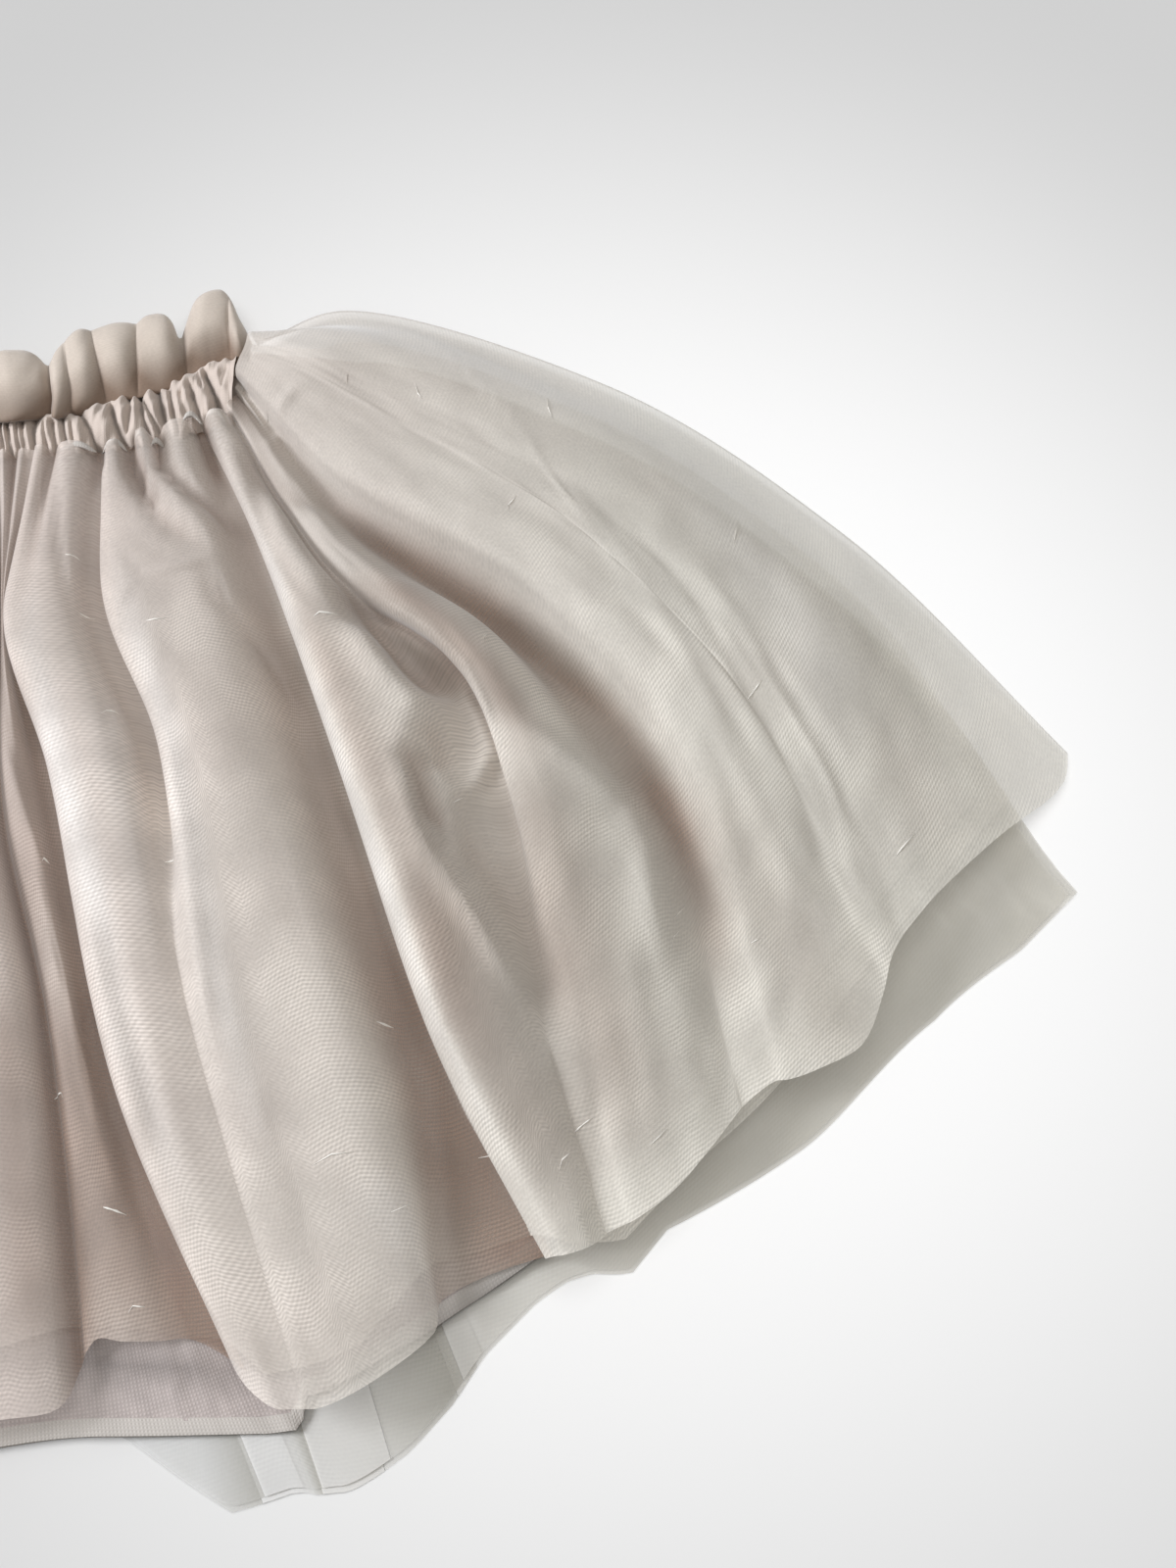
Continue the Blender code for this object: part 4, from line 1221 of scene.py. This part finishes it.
# The casing's ruches that are listed one by one, in millimetres above the seam line.
RUCHES = table(
    Crease,
    ([(22.5, 11.0), (24.7, -1.0)], 0.5, -1.4), ([(25.0, 8.0), (26.8, -1.0)], 0.45, -1.6),
    ([(27.0, 9.5), (29.0, -2.0)], 0.4, -1.2), ([(29.0, 9.0), (29.8, -2.0)], 0.4, -1.5),
    ([(31.2, 9.0), (33.0, -1.5)], 0.6, -1.9), ([(34.2, 10.0), (35.8, -1.0)], 0.4, -0.9),
    ([(36.2, 10.0), (38.4, -1.0)], 0.45, -1.5), ([(38.5, 12.0), (41.4, -0.5)], 0.45, -1.9),
    ([(41.0, 10.0), (43.0, -0.5)], 0.4, -1.0), ([(41.8, 14.5), (46.2, 7.0), (49.6, -0.8)], 0.6, -2.0),
    ([(45.3, 20.0), (44.5, 12.0)], 0.7, -0.9), ([(50.2, 17.5), (53.1, 8.2), (57.2, -1.0)], 0.55, -2.2),
    ([(54.8, 20.0), (56.4, 13.2), (56.0, 4.0)], 0.6, -1.5),
    ([(57.0, 23.0), (59.7, 11.7), (62.6, 2.0)], 0.6, -2.0),
    ([(57.6, 20.0), (61.8, 11.4), (67.0, 2.0)], 0.5, -1.8),
    ([(62.4, 22.5), (65.1, 11.7), (68.2, 3.0)], 0.8, -2.3),
    ([(65.6, 22.5), (67.3, 13.9), (69.8, 5.0)], 0.6, -1.9), ([(69.0, 20.0), (71.4, 9.5)], 0.8, -1.0),
    ([(70.8, 22.5), (73.1, 15.7), (76.0, 7.0)], 0.6, -2.0), ([(73.0, 26.0), (75.4, 18.0)], 0.5, -1.2),
    ([(73.6, 28.5), (78.0, 18.3), (81.0, 10.1), (85.5, 0.0)], 0.6, -2.4),
    ([(81.1, 27.0), (80.0, 18.5)], 0.6, -1.0),
)
RUCHES_LEFT = 34  # further ruches, over the part of the casing that no row above covers
RUCHES_END = 21.0
RUCHE_ROUND = 2.2  # how far the cloth takes to swell out of a ruche, over the ruche's reach
RUCHE_FULL = (0.15, 0.8)  # shares of a ruche's length between which it is at its full depth
RUCHE_DEEPER = 1.8
DEEPEST_RUCHE = -2.5  # from here on a ruche's painted shade is at its darkest
RUCHE_DARKENS = 2.8  # the higher, the more only the deep ruches take painted shade


def further_ruches():
    """Narrow slanted creases, uneven in place, depth and length."""
    random = np.random.default_rng(4)
    x = -CASING_HALF
    step = (RUCHES_END + CASING_HALF) / RUCHES_LEFT
    ruches = []
    for _ in range(RUCHES_LEFT):
        x += step * random.uniform(0.5, 1.5)
        slant = random.uniform(-1.4, 2.6)
        low, high = random.choice(((-2.0, 15.0), (-2.0, 9.0), (3.0, 17.0), (-2.0, 16.0)))
        base = seam_height(x)
        line = [(x + slant, base + low), (x + 0.3 * slant, base + 0.5 * (low + high)), (x, base + high)]
        ruches.append(Crease(line, random.uniform(0.4, 0.75), -random.uniform(0.9, 2.2)))
    return tuple(ruches)


def casing_grid(base, bulge, ruched):
    """The casing's grid at a height, and the shade painted in its ruches, darkest in the deep ones; ruched
    is how deep its ruches are.
    """
    x = np.linspace(-CASING_END, CASING_END, CASING_COLUMNS)[None, :]
    share = np.linspace(0, 1, CASING_ROWS)[:, None]
    # Its two edges waver.
    waver = 0.4 * np.sin(x * 1.9) + 0.3 * np.sin(x * 0.83 + 1)
    top = CASING_HEIGHT + np.interp(x, *zip(*CASING_TOP)) + CASING_OVER
    out = -CASING_UNDER + (top + CASING_UNDER) * share + waver * (2 * share - 1)
    lift = base + bulge * np.sin(math.pi * share) ** 0.5
    grid = np.stack(np.broadcast_arrays(x, seam_height(x) + out, lift), axis=-1)
    pinch = np.zeros(grid.shape[:2])
    for ruche in further_ruches() + RUCHES:
        far, along_it = nearest_to(grid[..., :2], ruche.line)
        shape = ruche.height * fading(along_it, *RUCHE_FULL) * np.exp(-far / (RUCHE_ROUND * ruche.reach))
        pinch = np.minimum(pinch, shape)
    uneven = crumple(cloth_lengths(grid), 0.8, across=2.0, down=4.0, seed=4.4)
    grid[..., 2] += ruched * (RUCHE_DEEPER * pinch + uneven)
    return grid, np.clip(pinch / DEEPEST_RUCHE, 0, 1) ** RUCHE_DARKENS


# The seam's folded edge where it peeks out between the gathers: x and height above the seam line.
SEAM_EDGES = (
    [(39.3, -0.3), (44.3, 0.6), (49.0, -0.6)],
    [(50.6, -0.9), (52.2, 1.2), (54.4, 1.5), (56.9, -0.3)],
    [(58.6, 3.1), (60.1, 4.3), (62.2, 2.8)],
    [(62.9, 1.2), (64.6, 1.8), (66.5, 0.9)],
    [(70.3, 7.1), (71.6, 9.6), (73.4, 10.2), (75.9, 8.0)],
    [(76.4, 8.0), (77.5, 10.5), (79.7, 11.1), (82.5, 8.0)],
    [(-56.0, 3.0), (-53.0, 4.4), (-50.0, 2.6)],
    [(-73.5, 8.0), (-70.0, 10.2), (-66.5, 5.6)],
    [(-30.0, 0.2), (-26.5, 1.0), (-23.0, -0.2)],
    [(4.0, -0.3), (7.5, 0.5), (10.5, -0.4)],
)


SEAM_EDGE_LEVEL = 10.0
SEAM_EDGE_ARCH = 1.8
SEAM_EDGE_POINTS = 14


def seam_edge_path(edge):
    """A smooth line through the points of a seam edge, higher in its middle."""
    fine = np.linspace(0, len(edge) - 1, SEAM_EDGE_POINTS)
    x, y = cubic(np.arange(len(edge)), edge, fine).T
    arch = SEAM_EDGE_ARCH * np.sin(math.pi * fine / fine[-1])
    return np.column_stack((x, y, SEAM_EDGE_LEVEL + arch))


class SKIRT_OT_casing(bpy.types.Operator):
    """Builds the elastic casing, front and back, ruched by the elastic inside it"""

    bl_idname = "skirt.casing"
    bl_label = "Elastic Casing"

    def execute(self, context):
        colours = context.scene.skirt_colours
        cotton = cotton_material("cotton_casing_plain_woven", colours.casing, 0.72, 0.0007, 0.5)
        # pinch is the shade painted in the front casing's ruches.
        grid, pinch = casing_grid(base=7.2, bulge=5.2, ruched=1.0)
        front = grid_object("elastic_casing_front", grid[::-1], cotton, pinch[::-1])
        dress(front, ["casing_front"])
        cream = cotton_material("cotton_seam_edge_plain_woven", colours.binding, 0.8, 0.0007, 0.3)
        paths = [seam_edge_path(edge) for edge in SEAM_EDGES]
        edges = ridge_object("casing_seam_edge", paths, half_width=0.95, height=0.6, material=cream)
        dress(edges, [])
        grid, _ = casing_grid(base=2.4, bulge=-2.0, ruched=-0.5)
        grid[..., 2] = np.maximum(grid[..., 2], 0.15)
        back = grid_object("elastic_casing_back", grid, cotton)
        dress(back, ["casing_back"])
        return {"FINISHED"}


# The frill's top line: x, and height above the casing's usual top.
FRILL_TOP = (
    (-86, 14), (-82, 21), (-77, 27), (-72, 26), (-69, 20), (-64, 26), (-59, 25), (-52, 26), (-46, 18),
    (-40, 24), (-34, 22), (-27, 23.5), (-20, 18), (-13, 23), (-7, 21), (-1, 22), (5, 16), (10, 20),
    (15, 18.5), (19.7, 20.4), (24.9, 20.6), (29.7, 19.1), (32.9, 16.8), (36.5, 22.5), (40.5, 26),
    (45, 26.2), (50.3, 27.1), (54.9, 27), (57.5, 28.3), (61, 28.2), (63.8, 26.2), (66.3, 21.5),
    (67.6, 17), (68.8, 27.6), (70.6, 30.4), (73.7, 31.4), (76.3, 31.6), (78.6, 30.0), (81, 25),
    (83.1, 19), (84.9, 16), (86.6, 13.5),
)
# Creases between the frill's puffs: x at the casing and at the top, and depth at both.
FrillCrease = namedtuple("FrillCrease", "low high low_depth high_depth")
FRILL_CREASES = table(
    FrillCrease,
    (-84, -86, 1.0, 1.0), (-71, -69, 1.0, 0.9), (-58, -60, 0.7, 0.3), (-48, -46, 1.0, 0.9),
    (-33, -35, 0.8, 0.4), (-21, -20, 0.9, 0.8), (-8, -7, 0.7, 0.3), (6, 5, 1.0, 0.9),
    (15, 15, 0.8, 0.5), (36, 32.9, 1.0, 1.0), (41.5, 36.5, 0.5, 0.15), (49.5, 43, 0.85, 0.3),
    (57.5, 55.2, 0.8, 0.4), (70, 67.6, 1.0, 1.0), (81.5, 79.5, 0.45, 0.2), (84.5, 86.6, 1.0, 1.0),
)
FRILL_STEP = 0.45  # width of a column
FRILL_RIBS = 0.8  # the ribs of two layers cross, and look closer
FRILL_ROWS = 54
FRILL_SOFT = 9  # columns over which the top line is rounded off
FRILL_SAG_TO = (34.0, 52.0)  # between these the frill stops sagging over the casing
FRILL_ROUND = 0.6  # the lower, the squarer a puff
FRILL_DENT = 3.0  # how far the top line dips in a crease
FRILL_OVERLAP = 0.6  # how far the frill starts below the casing's top
FRILL_PINCH = 0.26  # share of its fullness that is left at the casing
FRILL_FLAT = 0.2  # and in a crease
FRILL_SAG_AT = 0.12  # how far up the frill it sags most
FRILL_SAG_OUT = 0.7  # how far it stands out there, over how far it sags


def frill_grid(level, rise, fall, sag_by):
    """The frill as a soft closed roll: up over its outer face, round its top and down inside; its
    last column is the shade painted on it, darkest where the net is pinched at the casing and in the
    creases."""
    columns = []
    for left, right in zip(FRILL_CREASES[:-1], FRILL_CREASES[1:]):
        count = max(round((right.high - left.high) / FRILL_STEP), 10)
        for t in np.arange(count) / count:
            near = left if t < 0.5 else right
            low = left.low + t * (right.low - left.low)
            high = left.high + t * (right.high - left.high)
            columns.append((low, high, math.sin(math.pi * t) ** FRILL_ROUND, *near[2:]))
    last = FRILL_CREASES[-1]
    columns.append((last.low, last.high, 0.0, 1.0, 1.0))
    low, high, round_, low_depth, high_depth = np.array(columns).T
    dent = FRILL_DENT * (1 - round_) ** 2 * (0.1 + 0.9 * high_depth)
    top = cubic(*zip(*FRILL_TOP), high) - dent
    window = np.hanning(FRILL_SOFT + 2)[1:-1]
    top = np.convolve(np.pad(top, FRILL_SOFT // 2, "edge"), window / window.sum(), "valid")
    base = np.interp(low, *zip(*CASING_TOP)) - FRILL_OVERLAP
    rows = []
    for turn in np.arange(FRILL_ROWS + 1) / FRILL_ROWS:
        angle = 2 * math.pi * turn
        share = 0.5 - 0.5 * math.cos(angle)
        outer = turn <= 0.5
        full = 1 - (low_depth + (high_depth - low_depth) * share) * (1 - round_)
        # The roll is fuller towards its top and pinched at the casing.
        pinch = FRILL_PINCH + (1 - FRILL_PINCH) * smooth_step(-0.05, 0.42, share)
        lump = abs(math.sin(angle)) ** FRILL_ROUND
        lump = lump * pinch * (FRILL_FLAT + (1 - FRILL_FLAT) * full)
        lift = level + (rise if outer else -fall) * lump
        out = CASING_HEIGHT + base + (top - base) * share
        if outer:
            sag = sag_by * (1 - smooth_step(*FRILL_SAG_TO, np.abs(low))) * full
            over = math.exp(-(((share - FRILL_SAG_AT) / FRILL_SAG_AT) ** 2))
            out = out - sag * over
            lift = lift + FRILL_SAG_OUT * sag * over
        # Painted shade: darker where the net is pinched at the casing and in the creases.
        painted_shade = (1 - smooth_step(0.0, 0.55, share)) ** 1.3 + 1.1 * (1 - full) * (1 - share**2)
        rows.append(np.column_stack((low + (high - low) * share, seam_height(low) + out, lift, painted_shade)))
    return np.array(rows)


class SKIRT_OT_frill(bpy.types.Operator):
    """Builds the paper-bag frill of doubled net, front and back, in soft round puffs"""

    bl_idname = "skirt.frill"
    bl_label = "Paper-Bag Frill"

    def execute(self, context):
        sizes, colours = context.scene.skirt_sizes, context.scene.skirt_colours
        tones = (colours.frill, colours.frill, colours.frill_pinch_shade)
        ribs = FRILL_RIBS * sizes.rib_spacing
        net = net_material("nylon_tulle_doubled", *tones, 0.86, ribs, tint_at=(0.0, 0.3), pattern=0.6)
        grid = frill_grid(level=7.0, rise=5.8, fall=2.6, sag_by=8.0)
        grid, painted_shade = grid[..., :3].copy(), grid[..., 3]
        grid[..., 2] += crumple(cloth_lengths(grid), 0.7, across=7.0, down=10.0, seed=2.2)
        front = grid_object("frill_puffs_front", grid, net, painted_shade)
        dress(front, ["frill_front"])
        grid = frill_grid(level=2.4, rise=1.4, fall=1.9, sag_by=0.0)[..., :3].copy()
        grid[..., 1] -= 1.0
        back = grid_object("frill_puffs_back", grid, net)
        dress(back, ["frill_back"])
        return {"FINISHED"}


FLOOR_HALF = 4.0
FLOOR_BELOW = 0.0004  # how far the floor lies under the skirt
ROOM_LIGHT = 0.34
# Where a lamp hangs, where it points, how wide and strong it is, its colour, and what it lights.
Lamp = namedtuple("Lamp", "name place target size power colour lights")
LAMPS = table(
    Lamp,
    ("key", (-0.90, 0.0, 0.62), (0.1, 0.0, 0.0), 0.45, 16.8, "f3f7ff", "skirt"),
    ("top", (0.25, 0.1, 1.6), (0.25, 0.0, 0.0), 1.6, 8.5, "ffffff", "all"),
    ("floor_lamp", (0.18, 0.0, 1.6), (0.18, 0.0, 0.0), 1.8, 17.0, "ffffff", "floor"),
)
CAMERA_PLACE = (0.1768, -0.2115, 0.4813)
CAMERA_TILT = 26  # degrees from straight down


def hang(lamp, lit):
    """A round soft lamp, which lights only what is in lit, where that is given."""
    data = bpy.data.lights.new(lamp.name, "AREA")
    data.shape = "DISK"
    data.size = lamp.size
    data.energy = lamp.power
    data.color = linear(lamp.colour)
    light = bpy.data.objects.new(lamp.name, data)
    light.location = lamp.place
    way = Vector(lamp.target) - Vector(lamp.place)
    light.rotation_euler = way.to_track_quat("-Z", "Y").to_euler()
    bpy.context.scene.collection.objects.link(light)
    if lit:
        receivers = bpy.data.collections.new("lit_by_" + lamp.name)
        for piece in lit:
            receivers.objects.link(piece)
        light.light_linking.receiver_collection = receivers


class SKIRT_OT_stage(bpy.types.Operator):
    """Sets up the pale floor, the soft studio light and the camera"""

    bl_idname = "skirt.stage"
    bl_label = "Stage"

    def execute(self, context):
        scene = context.scene
        mesh = bpy.data.meshes.new("floor")
        sides = ((-1, -1), (1, -1), (1, 1), (-1, 1))
        corners = [(x * FLOOR_HALF, y * FLOOR_HALF, -FLOOR_BELOW) for x, y in sides]
        mesh.from_pydata(corners, [], [(0, 1, 2, 3)])
        # A pool of light painted on the paper: pale at the centre, greyer further out.
        tones = (linear("f6f6f6"), linear("c9c9c9"))
        centre = (0.1768, 0.0232)
        paper = paper_material("background_paper_matt", *tones, centre, reach=(0.05, 0.30))
        mesh.materials.append(paper)
        floor = bpy.data.objects.new("floor", mesh)
        scene.collection.objects.link(floor)
        floor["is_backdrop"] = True

        world = bpy.data.worlds.new("studio")
        world.use_nodes = True
        background = world.node_tree.nodes["Background"]
        background.inputs["Color"].default_value = (*linear("ffffff"), 1)
        background.inputs["Strength"].default_value = ROOM_LIGHT
        scene.world = world

        lit = {"skirt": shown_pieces(), "floor": [floor]}
        for lamp in LAMPS:
            hang(lamp, lit.get(lamp.lights))

        camera = bpy.data.cameras.new("camera")
        camera.lens = 50.0
        camera.sensor_width = 36.0
        camera.clip_start = 0.01
        camera_object = bpy.data.objects.new("camera", camera)
        camera_object.location = CAMERA_PLACE
        camera_object.rotation_euler = (math.radians(CAMERA_TILT), 0, 0)
        scene.collection.objects.link(camera_object)
        scene.camera = camera_object
        scene.view_settings.view_transform = "Standard"
        return {"FINISHED"}


class SKIRT_PT_panel(bpy.types.Panel):
    """Lists the skirt's pieces, sizes and colours"""

    bl_idname = "SKIRT_PT_panel"
    bl_label = "Tulle Skirt"
    bl_space_type = "VIEW_3D"
    bl_region_type = "UI"
    bl_category = "Skirt"

    def draw(self, context):
        for settings in (context.scene.skirt_sizes, context.scene.skirt_colours):
            for name in settings.__annotations__:
                self.layout.prop(settings, name)
        for operator in OPERATORS:
            self.layout.operator(operator.bl_idname)


OPERATORS = (
    SKIRT_OT_back_nets,
    SKIRT_OT_lining,
    SKIRT_OT_under_front,
    SKIRT_OT_outer_front,
    SKIRT_OT_casing,
    SKIRT_OT_frill,
    SKIRT_OT_stage,
)
CLASSES = (SkirtSizes, SkirtColours, *OPERATORS, SKIRT_PT_panel)


def register():
    for cls in CLASSES:
        bpy.utils.register_class(cls)
    bpy.types.Scene.skirt_sizes = PointerProperty(type=SkirtSizes)
    bpy.types.Scene.skirt_colours = PointerProperty(type=SkirtColours)


def unregister():
    del bpy.types.Scene.skirt_colours
    del bpy.types.Scene.skirt_sizes
    for cls in reversed(CLASSES):
        bpy.utils.unregister_class(cls)


def main():
    register()
    for operator in OPERATORS:
        group, name = operator.bl_idname.split(".")
        getattr(getattr(bpy.ops, group), name)()


if __name__ == "__main__":
    main()
